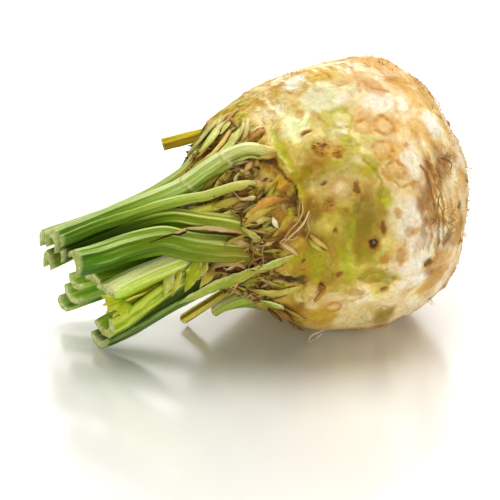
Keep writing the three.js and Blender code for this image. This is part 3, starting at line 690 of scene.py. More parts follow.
def paintScars(f, tint, rough, r):
    # ring: a rim round a pale middle. knob: a raised grained stub. hole: a sunk pit painted
    # dark inside as shade, with a grey core. spot: a stained dip. stain: a shallow dull mark
    for a, b, along, across, kind in scars:
        reach, turn = markReach(f.tight, a, b, along, across)
        reach = reach + 0.14 * f.mid + 0.08 * f.fine
        inside = 1 - ease(0.55, 1.15, reach)
        worn = ease(-0.7, 0.5, f.mid + f.fine)
        rim = np.exp(-((reach - 0.95) / 0.24) ** 2) * (0.35 + 0.65 * worn)
        core = np.exp(-(reach / 0.5) ** 2)
        if kind in bulb["rings"]:
            centre, edge = bulb["rings"][kind]
            coats = [(centre, 0.65 * inside * (0.5 + 0.5 * worn)), ("cream", 0.35 * core),
                     (edge, 0.9 * rim), ("brown", 0.4 * rim * ease(0.1, 0.7, f.fine + 0.2))]
            r = r - 0.3 * rim + 0.25 * core
        elif kind == "knob":
            grain = np.sin(np.radians(turn * 9) + 4 * f.fine)
            coats = [("ochre", 0.75 * (1 - ease(0.6, 1.5, reach))),
                     ("umber", inside * ease(-0.1, 0.7, f.fine + 0.5 * grain + 0.2 * core))]
            r = r + 0.8 * core + inside * (0.5 * f.fine + 0.35 * grain) - 0.5 * rim
            rough = np.maximum(rough, 0.75 * inside)
        elif kind == "hole":
            middle = 1 - ease(0.2, 0.5, reach)
            # dark inside the pit: painted shade
            coats = [("brown", 0.7 * np.exp(-((reach - 1) / 0.5) ** 2)), ("dark", inside),
                     ("core", 0.8 * middle)]
            r = r - 1.5 * inside + 0.9 * middle
        elif kind == "spot":
            coats = [("ochre", 0.6 * (1 - ease(0.6, 1.9, reach))), ("umber", 0.75 * inside)]
            r = r - 0.6 * inside
        else:
            coats = [("ochre", 0.7 * inside * (0.6 + 0.4 * worn)), ("brown", 0.4 * rim)]
            r = r - 0.2 * inside
        tint = painted(tint, *coats)
    return tint, rough, r


def makeBulb(material):
    # one closed skin: its radius along each direction is the cut bulb plus relief and scars,
    # and nothing goes below the floor
    v, faces = ballOfSquares(bulb["cells"], direction(*bulb["finest"]) * bulb["towardFront"])
    f, r = skinFields(v), skinRadius(v)
    addZones(f, roundRadius(v) - r)
    tint, rough = paintPatches(f, fleshTint(f), 0.36 + 0.3 * f.skin + 0.06 * f.fine)
    tint, rough = paintTorn(f, tint, rough)
    tint, depth = paintStrokes(f, washTint(f, tint))
    tint, rough = paintCrown(f, tint, rough)
    for part in skinHeight(f, depth):
        r = r + part
    tint, rough, r = paintScars(f, tint, rough, r)
    tint = tint * (1 + 0.08 * f.fine + 0.05 * f.fine2)[:, None]
    points = v * r[:, None] + np.array([0, 0, bulb["height"]])
    points[:, 2] = np.maximum(points[:, 2], 0)
    values = {"rough": rough, "bark": np.maximum(f.skin, f.crown)}
    piece = makePiece("bulbSkin", points, faces, tint, values, material)
    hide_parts("root_bulb")


def bulbMaterial():  # grain and specks over the tint, brown blots, a bump deeper on bark
    finish = softFinish(0.12, (1.0, 0.7, 0.35), 0.003, 0.25, (1, 0.93, 0.7, 1))
    material, tree, shader = newMaterial("celeriacSkin", finish)
    place = inPlace(tree)
    grain = noiseOf(tree, place, 420, 6, 0.62)
    speck = noiseOf(tree, place, 1300, 3, 0.6)
    colour = tonedTint(tree, (grain, 0.84, 1.1), (speck, 0.93, 1.06))
    stain = spanOf(tree, noiseOf(tree, place, 260, 7, 0.66), 0, 0.42, 0.52, 0.7)
    stained = node(tree, "ShaderNodeMix", {"data_type": "RGBA", "blend_type": "MULTIPLY"},
                   {7: tuple(rgb(224, 176, 104)) + (1,)}, {0: stain, 6: colour})
    relief = mathOf(tree, "ADD", grain, mathOf(tree, "MULTIPLY", speck, 0.4))
    height = mathOf(tree, "MULTIPLY", relief, spanOf(tree, attribute(tree, "bark"), 0.35, 1.0, 0, 1))
    finishOff(tree, shader, stained.outputs[2], (grain, -0.06, 0.08), height, 0.0007, 0.6)
    return material


# curves and strands

def curvePoints(paths, steps):
    # centripetal Catmull-Rom curves through rows of points, then evenly spaced by length
    p = np.asarray(paths, float)
    p = np.concatenate([2 * p[:, :1] - p[:, 1:2], p, 2 * p[:, -1:] - p[:, -2:-1]], 1)
    gap = np.sqrt(np.maximum(np.linalg.norm(np.diff(p, axis=1), axis=-1), 1e-6))[..., None]
    x0, x1, x2, x3 = p[:, :-3], p[:, 1:-2], p[:, 2:-1], p[:, 3:]
    g0, g1, g2 = gap[:, :-2], gap[:, 1:-1], gap[:, 2:]
    m1 = ((x1 - x0) / g0 - (x2 - x0) / (g0 + g1) + (x2 - x1) / g1) * g1
    m2 = ((x2 - x1) / g1 - (x3 - x1) / (g1 + g2) + (x3 - x2) / g2) * g1
    t = np.linspace(0, 1, 20, endpoint=False)[:, None]
    x0, x1, x2, m1, m2 = (v[:, :, None] for v in (x0, x1, x2, m1, m2))
    dense = ((2 * t ** 3 - 3 * t ** 2 + 1) * x1 + (t ** 3 - 2 * t ** 2 + t) * m1
             + (3 * t ** 2 - 2 * t ** 3) * x2 + (t ** 3 - t ** 2) * m2)
    dense = np.concatenate([dense.reshape(len(p), -1, 3), p[:, -2:-1]], 1)
    run = np.cumsum(np.linalg.norm(np.diff(dense, axis=1), axis=-1), 1)
    run = np.concatenate([np.zeros((len(p), 1)), run / run[:, -1:]], 1)
    even = np.linspace(0, 1, steps)
    return np.stack([[np.interp(even, run[n], dense[n, :, k]) for k in range(3)]
                     for n in range(len(p))]).transpose(0, 2, 1)


def frameAlong(path, back):  # tangent, back and side directions at each point of curves
    tangent = unit(np.gradient(path, axis=-2))
    b = unit(back - (back * tangent).sum(-1, keepdims=True) * tangent)
    return tangent, b, np.cross(tangent, b)


def threeWay(values, t):  # base, middle and end values with a soft change at each half
    v = np.asarray(values, float)
    first, second = ease(0, 0.5, t), ease(0.5, 1, t)
    if v.ndim > 1:
        first, second = first[..., None], second[..., None]
    return v[0] + (v[1] - v[0]) * first + (v[2] - v[1]) * second


# the leaf stalks

stalkMake = {
    "firstSeed": 40, "seedStep": 20,
    "rings": 104, "halfPoints": 36, "rimPoints": 5,
    "facets": 4, "facetShare": 0.85,  # flat faces round the back, and how flat they are
    "lip": 0.18, "sink": 0.45,        # shares of the width and depth: lip, back of the middle line
    "ribDepth": 0.016, "dryRib": 0.22, "relief": 0.16,
    "cuts": {"upper": [-1, -0.02, 0.04], "lower": [-0.934, -0.306, -0.183]},  # the way cut ends face
    # flesh of a cut end: deep, pale, speck
    "pith": [rgb(196, 210, 108), rgb(238, 240, 184), rgb(150, 160, 50)],
    "dryPith": [rgb(150, 112, 54), rgb(96, 64, 28)],
    "sheathRing": [rgb(234, 228, 170), rgb(150, 140, 70)], "cutEdge": rgb(214, 222, 150),
    "dullFoot": [rgb(206, 176, 110), rgb(150, 110, 56)],
}

# path: middle line from inside the crown to the cut end. wide, deep, wall: at the
# base, middle and end. ribs: how many on the back. tints: base, middle, end, pale, dark;
# the pale and dark tints carry the streaks and also the painted light and shade of the faces.
# faces: from margin to margin round the back, how pale (above 0) or dark each flat face is:
# painted light where the light falls on a face and painted shade where it doesn't; the faces
# near the base have their own list, and the end shade darkens the far end as painted shade.
stalks = {
    "leafStalkTop": {
        "path": [[-37, -15, 82], [-44, -21, 88], [-52, -20, 91], [-59, -16, 88], [-67, -12, 82],
                 [-76, -7, 74], [-92, 2, 65], [-108, 11, 57], [-124, 19, 49]],
        "wide": [5.6, 9.6, 10], "deep": [3.4, 6.6, 7.2], "wall": [3, 5, 5], "back": [0, -0.55, 0.83],
        "cut": "upper", "ribs": 6, "nodes": [0.27, 0.44], "fade": 0.22, "faces": [-1, -0.35, 0.62, 0.7],
        "baseFacesPaintedLight": [-0.45, 0.2, 0.7, 0.95],
        "tints": [(214, 204, 116), (158, 190, 70), (104, 150, 40), (228, 240, 184), (48, 84, 4)],
    },
    "leafStalkFront": {
        "path": [[-46, -24, 50], [-57, -30, 52.5], [-69, -29, 55], [-80, -24, 56], [-89, -19, 58.4],
                 [-101, -11, 54.4], [-112, -4, 49], [-120, 3, 45]],
        "wide": [12, 12.8, 12], "deep": [4, 7, 8.4], "wall": [3, 5, 5.6], "back": [0, -0.72, 0.69],
        "cut": "upper", "ribs": 5, "faces": [-0.6, -0.2, 0.5, 1], "baseFacesPaintedLight": [-0.3, 0, 0.15, 0.6],
        "tints": [(158, 132, 22), (104, 132, 8), (74, 130, 4), (220, 240, 150), (36, 76, 1)],
    },
    "leafStalkLowFront": {
        "path": [[-59, -9, 46], [-73, -17, 47.5], [-85, -19, 46.5], [-99, -15, 41], [-111, -10, 34]],
        "wide": [7, 9.4, 10.4], "deep": [5, 7, 7.8], "wall": [4, 5.4, 5.8], "back": [0, -0.84, 0.54],
        "ribs": 7, "pale": True, "faces": [-0.35, 0.25, 0.95, 0.35],
        "tints": [(134, 130, 12), (184, 208, 58), (192, 230, 66), (248, 252, 186), (132, 172, 16)],
    },
    # the arched stalk's end tints are darkened as painted shade, where the top stalk shades it
    "leafStalkArched": {
        "path": [[-45, -24, 53], [-56, -30, 60], [-64, -28, 63.5], [-75, -21, 64.6], [-84, -13, 64.6],
                 [-94, -5, 60.5], [-106, 6, 52], [-122, 16, 43]],
        "wide": [11.6, 8.6, 6.4], "deep": [3.4, 4.8, 4.6], "wall": [2.4, 3.4, 3.4],
        "back": [0, -0.7, 0.71], "cut": "upper", "ribs": 5, "fade": 0.95, "faces": [-0.9, -0.3, 0, 0.8],
        "baseFacesPaintedLight": [-0.3, 0.05, 0.3, 0.9],
        "tints": [(156, 158, 44), (98, 130, 4), (76, 122, 8), (224, 224, 126), (34, 56, 1)],
    },
    "leafStalkThin": {
        "path": [[-44, -20, 75], [-52, -25, 78], [-60, -24, 78], [-71.9, -18.4, 73.7],
                 [-76.3, -16.2, 72.8], [-87.7, -8.9, 68.5], [-98.2, -1.8, 63.3],
                 [-108.1, 4.7, 58.5], [-122.9, 13.5, 50.5]],
        "wide": [3.4, 4.4, 5], "deep": [2.4, 3.4, 4], "wall": [2, 2.8, 3], "back": [0, -0.5, 0.87],
        "cut": "upper", "ribs": 4, "pale": True, "faces": [-0.9, -0.5, 0.1, 0.6],
        "baseFacesPaintedLight": [-0.5, 0.1, 0.7, 0.8],
        "tints": [(222, 200, 104), (160, 186, 66), (96, 142, 36), (218, 234, 156), (62, 96, 6)],
    },
    "leafStalkBottom": {
        "path": [[-47, -17, 35], [-58, -21, 35], [-70, -15, 30], [-85, -7, 20], [-99, 0, 10], [-111, 5, 4]],
        "wide": [6, 8, 9.4], "deep": [4, 5.6, 6.4], "wall": [3.4, 4.4, 5], "back": [0.1, 0.3, -0.95],
        "ribs": 6, "faces": [-0.5, -0.3, -0.2, 0.2],
        "tints": [(160, 150, 50), (84, 118, 30), (50, 88, 12), (160, 184, 104), (28, 54, 4)],
    },
    "leafStalkLow": {
        "path": [[-60, -13, 43], [-73, -16, 41], [-87, -14, 33], [-102, -9, 21], [-111, -5, 15]],
        "wide": [7, 9.8, 11], "deep": [5, 7, 8], "wall": [4, 4.4, 4.2], "back": [0.1, -0.15, -0.98],
        "ribs": 6, "faces": [-0.6, -0.1, 0.2, 0.45], "baseFacesPaintedLight": [-0.6, -0.35, 0, 0.2],
        "tints": [(130, 134, 12), (110, 144, 4), (122, 166, 6), (220, 232, 88), (58, 92, 1)],
    },
    "leafStalkInner": {
        "path": [[-56, -2, 44], [-69, -5, 46], [-84, -4, 43], [-100, 0, 38], [-112, 6, 33.5]],
        "wide": [6, 8.8, 9], "deep": [4, 5.8, 6.6], "wall": [3.4, 4.4, 5], "back": [0, -0.35, 0.94],
        "ribs": 5, "pale": True, "faces": [-0.8, -0.5, -0.2, 0.1],
        "tints": [(160, 150, 40), (110, 146, 12), (142, 178, 14), (216, 224, 104), (54, 88, 3)],
    },
    "leafStalkMiddle": {
        "path": [[-54, 8, 44], [-65, 3, 45], [-83, 4, 40], [-103, 10, 33], [-117, 15, 28.5]],
        "wide": [6, 7.4, 8.2], "deep": [4, 5.4, 6], "wall": [3.2, 3.8, 4], "back": [0, 0.5, -0.87],
        "ribs": 5, "faces": [-0.3, -0.1, 0.2, 0.5],
        "tints": [(168, 164, 60), (120, 168, 20), (142, 196, 24), (206, 226, 104), (60, 108, 6)],
    },
    "leafStalkWide": {
        "path": [[-48, 16, 37], [-61, 12, 37], [-80, 13, 31], [-101, 19, 23], [-116, 24, 18]],
        "wide": [7, 9.4, 10.6], "deep": [4, 6, 7], "wall": [3.4, 4, 4], "back": [0, 0.55, -0.83],
        "ribs": 6, "faces": [-0.4, -0.2, 0.1, 0.4],
        "tints": [(176, 170, 74), (104, 152, 22), (106, 164, 20), (194, 218, 104), (50, 94, 5)],
    },
    "leafStalkFarLow": {
        "path": [[-45, 24, 32], [-56, 22, 30], [-76, 25, 22], [-100, 31, 14], [-117, 35, 9]],
        "wide": [6, 7.8, 8.6], "deep": [4, 5, 6], "wall": [3.2, 3.8, 4], "back": [0, 0.75, -0.66],
        "ribs": 6, "faces": [-0.4, -0.2, 0, 0.3],
        "tints": [(168, 160, 70), (90, 138, 26), (92, 150, 26), (180, 206, 116), (42, 84, 6)],
    },
    "leafStalkBack": {
        "path": [[-36, 27, 86], [-46, 18, 88], [-57, 15, 81], [-65, 15, 72], [-76, 19, 63.5],
                 [-96, 27, 52.5], [-123, 39, 41]],
        "wide": [5, 7, 9.6], "deep": [3, 4.6, 6.6], "wall": [2.6, 3.6, 4.6], "back": [-0.3, 0.35, 0.89],
        "cut": "upper", "ribs": 6, "faces": [-0.3, 0.4, 0.6, 0.5],
        "tints": [(214, 208, 130), (162, 184, 84), (112, 152, 50), (230, 234, 180), (74, 106, 12)],
    },
    "leafStalkFar": {
        "path": [[-41, 9, 88], [-50, 4, 89], [-59, 3, 82], [-67, 6, 73], [-79, 14, 60], [-98, 27, 44],
                 [-122, 38, 31]],
        "wide": [4, 5.6, 10.4], "deep": [2.4, 3.8, 7], "wall": [2.2, 3, 4.2], "back": [-0.3, 0.2, 0.93],
        "cut": "upper", "ribs": 5, "faces": [-0.5, -0.2, 0.4, 0.6],
        "tints": [(192, 164, 60), (166, 164, 50), (96, 142, 16), (222, 214, 130), (90, 90, 10)],
    },
    "leafStalkSlender": {
        "path": [[-40, 18, 87], [-49, 12, 87], [-58, 11, 80], [-66, 12, 72], [-73, 15, 64], [-84, 22, 51],
                 [-97, 28, 37], [-109, 27, 29]],
        "wide": [3.6, 4.6, 6], "deep": [2.4, 3.4, 4], "wall": [2.2, 3, 3.4], "back": [-0.4, -0.1, 0.9],
        "ribs": 4, "pale": True, "faces": [-0.5, -0.1, 0.3, 0.4],
        "tints": [(176, 138, 46), (176, 160, 50), (100, 140, 20), (224, 212, 120), (100, 76, 12)],
    },
    "leafStalkYellow": {
        "path": [[-57, -16, 67], [-66, -20, 69], [-77, -17, 66], [-89, -7, 60], [-101, 0, 52]],
        "wide": [4, 4.4, 4], "deep": [3, 3.2, 3], "wall": [2.4, 2.6, 2.4], "back": [0, -0.6, 0.8],
        "ribs": 4, "pale": True, "faces": [-0.3, 0.1, 0.3, 0.4],
        "tints": [(212, 196, 90), (196, 196, 50), (150, 170, 24), (236, 232, 120), (120, 126, 14)],
    },
    "dryStubUpper": {
        "path": [[-38, 29, 83], [-46, 27, 83], [-54, 29, 81], [-68, 35, 77]],
        "wide": [4.4, 5, 5.6], "deep": [3, 4, 4.4], "wall": [2.6, 3, 3.2], "back": [0, -0.3, 0.95],
        "ribs": 5, "square": True, "dry": True, "faces": [-0.7, -0.35, 0.2, -0.6],
        "tints": [(200, 164, 44), (228, 206, 54), (216, 188, 48), (246, 230, 120), (142, 110, 18)],
    },
    "dryStubLower": {
        "path": [[-47, -9, 26], [-54, -3, 20], [-62, 4, 11.5], [-70, 11, 2.8]],
        "wide": [3.6, 4.4, 4.8], "deep": [3, 3.6, 4], "wall": [2.6, 3, 3.2], "back": [0, -0.8, 0.6],
        "ribs": 4, "square": True, "dry": True, "faces": [-0.8, 0.6, -0.9, 0.5],
        "tints": [(228, 204, 64), (246, 228, 64), (232, 206, 52), (255, 246, 132), (134, 98, 16)],
    },
    "greenStub": {
        "path": [[-33, -14, 14], [-42, -16.5, 18], [-52, -17, 22], [-59, -14.5, 20], [-64, -10, 15]],
        "wide": [6, 7.4, 5], "deep": [3.6, 4.8, 4], "wall": [3, 3.8, 3.4], "back": [0, -0.88, 0.47],
        "ribs": 4, "square": True, "pale": True, "faces": [-0.6, -0.2, 0.1, 0.9],
        "tints": [(214, 212, 110), (164, 194, 76), (178, 190, 76), (244, 244, 176), (104, 140, 34)],
    },
    "youngLeaf": {
        "path": [[-84, -9.5, 35.5], [-93, -9.5, 32.5], [-102, -8.2, 30], [-110.5, -6, 26.8]],
        "wide": [3, 7, 8], "deep": [1.6, 3, 3.4], "wall": [1.2, 1, 1], "back": [0, 0.3, -0.95], "ribs": 7,
        "square": True, "pale": True, "faces": [-0.2, 0.2, 0.3, 0.4],
        "tints": [(190, 190, 36), (206, 200, 20), (220, 188, 14), (240, 232, 98), (140, 146, 10)],
    },
}


def stalkSection(spec, seed):
    # rings of points: ribbed back, rounded lip, hollow front, rounded lip; a fresh stalk's
    # last rings slide along it onto the plane of its cut
    s = SimpleNamespace(seed=seed)
    half, rim, facets = stalkMake["halfPoints"], stalkMake["rimPoints"], stalkMake["facets"]
    path = curvePoints([spec["path"]], stalkMake["rings"])[0]
    s.tangent, b, side = frameAlong(path, np.array(spec["back"], float))
    s.length = np.linalg.norm(np.diff(path, axis=0), axis=1).sum()
    t = np.linspace(0, 1, stalkMake["rings"])[:, None]
    s.wide, deep, wall = (threeWay(spec[key], t) for key in ("wide", "deep", "wall"))
    lip = np.minimum(stalkMake["lip"] * s.wide, wall)
    a = np.linspace(-0.5, 0.5, half + 1)[None, :] * np.pi
    run = t + 0 * a
    wander = 1.1 * softNoise(np.stack([a * 1.1 + 0 * t, run * 1.6, 0 * run + 3.7], -1), 1, seed)
    ridge = np.abs(np.sin(spec["ribs"] * (a + np.pi / 2) + wander)) ** 0.8
    local = (a + np.pi / 2 + 0.12 * wander) % (np.pi / facets) - np.pi / facets / 2
    facet = 0.96 + stalkMake["facetShare"] * (np.cos(np.pi / facets / 2) / np.cos(local) - 0.96)
    depth = stalkMake["ribDepth"] * s.wide + (stalkMake["dryRib"] if spec.get("dry") else 0)
    rib = depth * (ridge - 0.6) * ease(-0.04, 0.16, t)
    outer = np.stack([(s.wide / 2 * facet + rib) * np.sin(a), (deep * facet + rib) * np.cos(a)], -1)
    front = a[:, ::-1]
    inner = np.stack([(s.wide / 2 - lip) * np.sin(front), (deep - wall) * np.cos(front)], -1)
    s.w = (np.arange(rim) + 1)[None, :] / (rim + 1)
    w = s.w[..., None]
    right = outer[:, -1:] * (1 - w) + inner[:, :1] * w
    left = inner[:, -1:] * (1 - w) + outer[:, :1] * w
    for lipPoints in (right, left):
        lipPoints[..., 1] += -0.5 * lip * np.sin(np.pi * s.w)
    ring = np.concatenate([outer, right, inner, left], 1)
    ring[..., 1] -= stalkMake["sink"] * deep
    q = path[:, None] + ring[..., :1] * side[:, None] + ring[..., 1:] * b[:, None]
    q = q + stalkMake["relief"] * cloud(q, 7, seed, 2)[..., None] * unit(q - path[:, None])
    if not spec.get("square"):
        n = unit(np.array(stalkMake["cuts"][spec.get("cut", "lower")]))
        slide = ((path[-1] - q) @ n)[-1:] / (s.tangent[-1] @ n)
        q = q + (slide * ease(0.72, 1.05, t) / ease(0.72, 1.05, 1))[..., None] * s.tangent[:, None]
    s.q, s.run = q, t + 0 * ring[..., 0]
    turns = [a[0], np.full(rim, a[0, -1]), a[0, ::-1], np.full(rim, a[0, 0])]
    s.across = np.concatenate(turns)[None, :] + 0 * s.run
    flat = np.ones((stalkMake["rings"], rim))
    s.ridge = np.concatenate([ridge, flat, 0.6 * ridge[:, ::-1], flat], 1)
    s.isBack = (np.arange(ring.shape[1]) <= half).astype(float)
    return s


def stalkTint(spec, s):
    # base, middle and end tints along the stalk; flat faces, crests, ridges and streaks
    # lighten it toward the pale tint or darken it toward the dark one. The flat faces' paleness
    # and darkness is painted light and shade, the crests carry a painted highlight, and the far
    # end is darkened as painted shade
    tints = np.array([rgb(*c) for c in spec["tints"]])
    run, across, facets = s.run, s.across, stalkMake["facets"]
    streak = softNoise(np.stack([across * s.wide * 0.9, run * s.length / 30, 0 * run], -1), 1, s.seed + 3)
    thin = softNoise(np.stack([across * s.wide * 2.6, run * s.length / 14, 0 * run], -1), 1, s.seed + 5)
    tint = threeWay(tints[:3], (run + 0.06 * streak).clip(0, 1))
    turn = (across / np.pi + 0.5) * facets + 0.2 * streak
    steps = np.floor(turn - 0.5).clip(0, facets - 2).astype(int)
    into = ease(0.36, 0.64, turn - 0.5 - steps)
    # paleness of each flat face near the base and farther out: painted light and shade
    low, light = (np.array(f, float) for f in (spec.get("baseFacesPaintedLight", spec["faces"]), spec["faces"]))
    low, light = (f[steps] + (f[steps + 1] - f[steps]) * into for f in (low, light))
    light = low + (light - low) * ease(0.45, 0.75, run)
    # crests: pale lines along the edges of the flat faces, pale ridges with a painted highlight on them
    crest = np.exp(-((turn - np.round(turn)) / 0.07) ** 2) * s.isBack
    light = light * s.isBack + 0.3 * (1 - s.isBack) + 0.5 * streak + 0.3 * thin
    light = light + 0.25 * (s.ridge - 0.55) * s.isBack
    light = light + 0.5 * crest * ease(-0.5, 0.3, thin + 0.3) * (0.35 + 0.65 * ease(0.1, 0.5, run))
    # the far end loses its pale share and goes toward the dark tint: painted shade
    fade = 1 - spec.get("fade", 0) * ease(0.42, 0.66, run)
    coats = [(tints[3], 0.85 * ease(0.05, 1, light) * fade),
             (tints[4], 0.85 * ease(-0.05, -0.9, light - 0.8 * (1 - fade)))]
    for at in spec.get("nodes", []):  # rings where a leaf sheath joined, pale beside dark
        off = run - at - 0.006 * np.sin(across * 2 + 1) - 0.004 * streak
        coats += [(stalkMake["sheathRing"][0], 0.7 * np.exp(-(off / 0.0045) ** 2)),
                  (stalkMake["sheathRing"][1], 0.5 * np.exp(-((off - 0.009) / 0.004) ** 2))]
    coats.append((stalkMake["cutEdge"], 0.6 * ease(0.975, 1, run)))
    if not spec.get("dry"):
        dull = ease(0.16, 0.02, run + 0.04 * streak)
        coats += [(stalkMake["dullFoot"][0], 0.45 * dull),
                  (stalkMake["dullFoot"][1], 0.5 * dull * ease(0.2, 0.8, thin + streak))]
    return painted(tint, *coats), 0.4 + 0.1 * thin + (0.3 if spec.get("dry") else 0)


def stalkEnd(spec, s, skin, total, last):
    # the cut face at the last ring, bulged a little, or the hidden face at the first: rows
    # from the back to the hollow, numbered from total on
    half, rim = stalkMake["halfPoints"], stalkMake["rimPoints"]
    start = len(skin) - s.q.shape[1] if last else 0
    top = start + np.arange(half + 1)
    foot = start + half + rim + 1 + np.arange(half + 1)[::-1]
    share = s.w.reshape(-1, 1, 1)
    middle = skin[top][None, 1:-1] * (1 - share) + skin[foot][None, 1:-1] * share
    if last:
        bulge = 0.14 * cloud(middle, 1.4, s.seed + 9, 2) - 0.5 * np.sin(np.pi * share[..., 0])
        middle = middle + bulge[..., None] * s.tangent[-1]
    table = np.empty((rim + 2, half + 1), np.int64)
    table[0], table[-1] = top, foot
    table[1:-1, 0] = start + 2 * half + 2 + rim + np.arange(rim)[::-1]
    table[1:-1, -1] = start + half + 1 + np.arange(rim)
    table[1:-1, 1:-1] = total + np.arange(rim * (half - 1)).reshape(rim, half - 1)
    quads = np.stack([table[:-1, :-1], table[:-1, 1:], table[1:, 1:], table[1:, :-1]], -1).reshape(-1, 4)
    points = middle.reshape(-1, 3)
    spots = ease(0.0, 0.6, softNoise(points, 0.9, s.seed + 11)) * 0.65
    if spec.get("dry"):
        pith = mix(*stalkMake["dryPith"], spots * 2)
    else:
        deep, pale, speck = stalkMake["pith"]
        pith = painted(deep, (pale, ease(-0.5, 0.6, softNoise(points, 2.2, s.seed + 13))), (speck, spots))
    rough = np.full((len(points), 1), 0.55)
    return points, quads if last else quads[:, ::-1], pith, rough, points[:, :2] / 10


def makeStalk(name, spec, material, seed):  # the swept section closed by its two ends
    s = stalkSection(spec, seed)
    tint, rough = stalkTint(spec, s)
    rings, count = s.run.shape
    uv = np.stack([s.across * s.wide / 2, s.run * s.length], -1) / 10
    skin = s.q.reshape(-1, 3)
    parts = [(skin, gridFaces(rings, count, 0, True), tint.reshape(-1, 3), rough.reshape(-1, 1),
              uv.reshape(-1, 2))]
    for last in (True, False):
        parts.append(stalkEnd(spec, s, skin, sum(len(part[0]) for part in parts), last))
    points, faces, tint, rough, uv = (np.concatenate(column) for column in zip(*parts))
    piece = makePiece(name, points, faces, tint, {"rough": rough}, material, uv)
    piece.data.polygons.foreach_set("use_smooth", np.arange(len(faces)) < (rings - 1) * count)
    cadName = "".join("_" + c.lower() if c.isupper() else c for c in name)
    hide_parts(cadName)


def stalkMaterial():  # long fibres and fine grain over the tint, fibres as a bump
    finish = softFinish(0.1, (0.8, 1.0, 0.15), 0.0025, 0.3, (0.95, 1, 0.5, 1))
    material, tree, shader = newMaterial("leafStalk", finish)
    drawn = drawnOut(tree, 0.06)
    fibre = noiseOf(tree, drawn, 26, 4, 0.6)
    fine = noiseOf(tree, drawn, 70, 3, 0.6)
    colour = tonedTint(tree, (fibre, 0.82, 1.16), (noiseOf(tree, inPlace(tree), 900, 3, 0.5), 0.94, 1.06))
    height = mathOf(tree, "ADD", fibre, mathOf(tree, "MULTIPLY", fine, 0.5))
    finishOff(tree, shader, colour, (fine, -0.07, 0.09), height, 0.0004, 0.55)
    return material


# scraps of leaf base, buds and rootlets on the crown

def makeStrands(name, make, material, paths, backs, wides, thicks, cups, tints, edges):
    # many closed ribbons or threads in one mesh; each has base, middle and tip values
    n, steps, around, ragged = len(paths), make["steps"], make["around"], make["ragged"]
    path = np.concatenate([curvePoints([p], steps) for p in paths])
    _, b, side = frameAlong(path, np.asarray(backs, float)[:, None])
    length = np.linalg.norm(np.diff(path, axis=1), axis=-1).sum(1)[:, None]
    t = np.linspace(0, 1, steps)[None, :] + np.zeros((n, 1))
    first, second = ease(0, 0.5, t), ease(0.5, 1, t)
    w = np.asarray(wides, float)
    wide = w[:, :1] + (w[:, 1:2] - w[:, :1]) * first + (w[:, 2:] - w[:, 1:2]) * second
    tip = np.minimum(t * length / (0.6 * wide), (1 - t) * length / (1.5 * wide)).clip(0.03, 1) ** 0.75

    # section: a flat oval, bowed down at its edges, torn and waved along its length
    g = np.arange(around)[None, None, :] * 2 * np.pi / around
    across, out = np.cos(g), np.sin(g)
    where = np.stack([t * length / 1.6, np.arange(n)[:, None] * 7.3 + 0 * t], -1)[:, :, None, :]
    sides = np.sign(across)[..., None] * 3.1 + 0 * where[..., :1]
    where = np.concatenate([where + 0 * g[..., None], sides], -1)
    tear = 1 + ragged * softNoise(where, 1, 5)
    s = (wide * tip / 2)[..., None] * across * tear
    lift = np.asarray(thicks, float).reshape(-1, 1, 1) * tip[..., None] / 2 * out
    bow = np.asarray(cups, float).reshape(-1, 1, 1) * wide[..., None] * tip[..., None]
    wave = ragged * 0.5 * softNoise(where * [0.5, 1, 0], 1, 9) * wide[..., None]
    o = lift - bow * (0.4 * across ** 2 + 0.6 * np.abs(across)) + wave
    q = path[:, :, None] + s[..., None] * side[:, :, None] + o[..., None] * b[:, :, None]

    # tint: three values along, edges toward their own tint, fibres lighter and darker, and one
    # side of each strand lighter than the other as painted light and shade
    c = np.array([[rgb(*v) for v in row] for row in tints])[:, :, None]
    tint = c[:, 0] + (c[:, 1] - c[:, 0]) * first[..., None] + (c[:, 2] - c[:, 1]) * second[..., None]
    tint = np.repeat(tint[:, :, None], around, 2)
    fibre = softNoise(np.stack([across * wide[..., None] * 1.3 + 0 * s, (t * length / 6)[..., None] + 0 * s,
                                np.arange(n)[:, None, None] * 5.7 + 0 * s], -1), 1, 21)
    edge = np.array([rgb(*v) for v in edges])[:, None, None]
    share = ease(0.62, 1, np.abs(across) + 0.25 * fibre) * 0.8
    tint = tint + (edge - tint) * share[..., None]
    # the across term makes one side lighter and the other darker: painted light and shade
    tint = tint * (1 + 0.22 * fibre[..., None] + 0.1 * across[..., None])
    start = np.arange(n)[:, None] * steps * around
    faces = (gridFaces(steps, around, 0, True)[None] + start[..., None]).reshape(-1, 4)[:, ::-1].tolist()
    faces += (np.arange(around)[None] + start).tolist()
    faces += (np.arange(around)[None, ::-1] + start + (steps - 1) * around).tolist()
    uv = np.stack([s, (t * length)[..., None] + 0 * s], -1).reshape(-1, 2) / 10
    values = {"rough": 0.58 + 0.1 * fibre.reshape(-1)}
    makePiece(name, q.reshape(-1, 3), faces, tint.reshape(-1, 3), values, material, uv)


def onBulb(v, lift=0.0):  # the skin point along each direction, raised by lift
    return v * (skinRadius(v) + lift)[:, None] + np.array([0, 0, bulb["height"]])


def fromMiddle(paths):  # from the bulb's middle to each path's own
    return np.array([np.mean(p, 0) for p in paths]) - [0, 0, bulb["height"]]


scrapMake = {"steps": 40, "around": 18, "ragged": 0.2, "back": [0.35, 1, 1]}

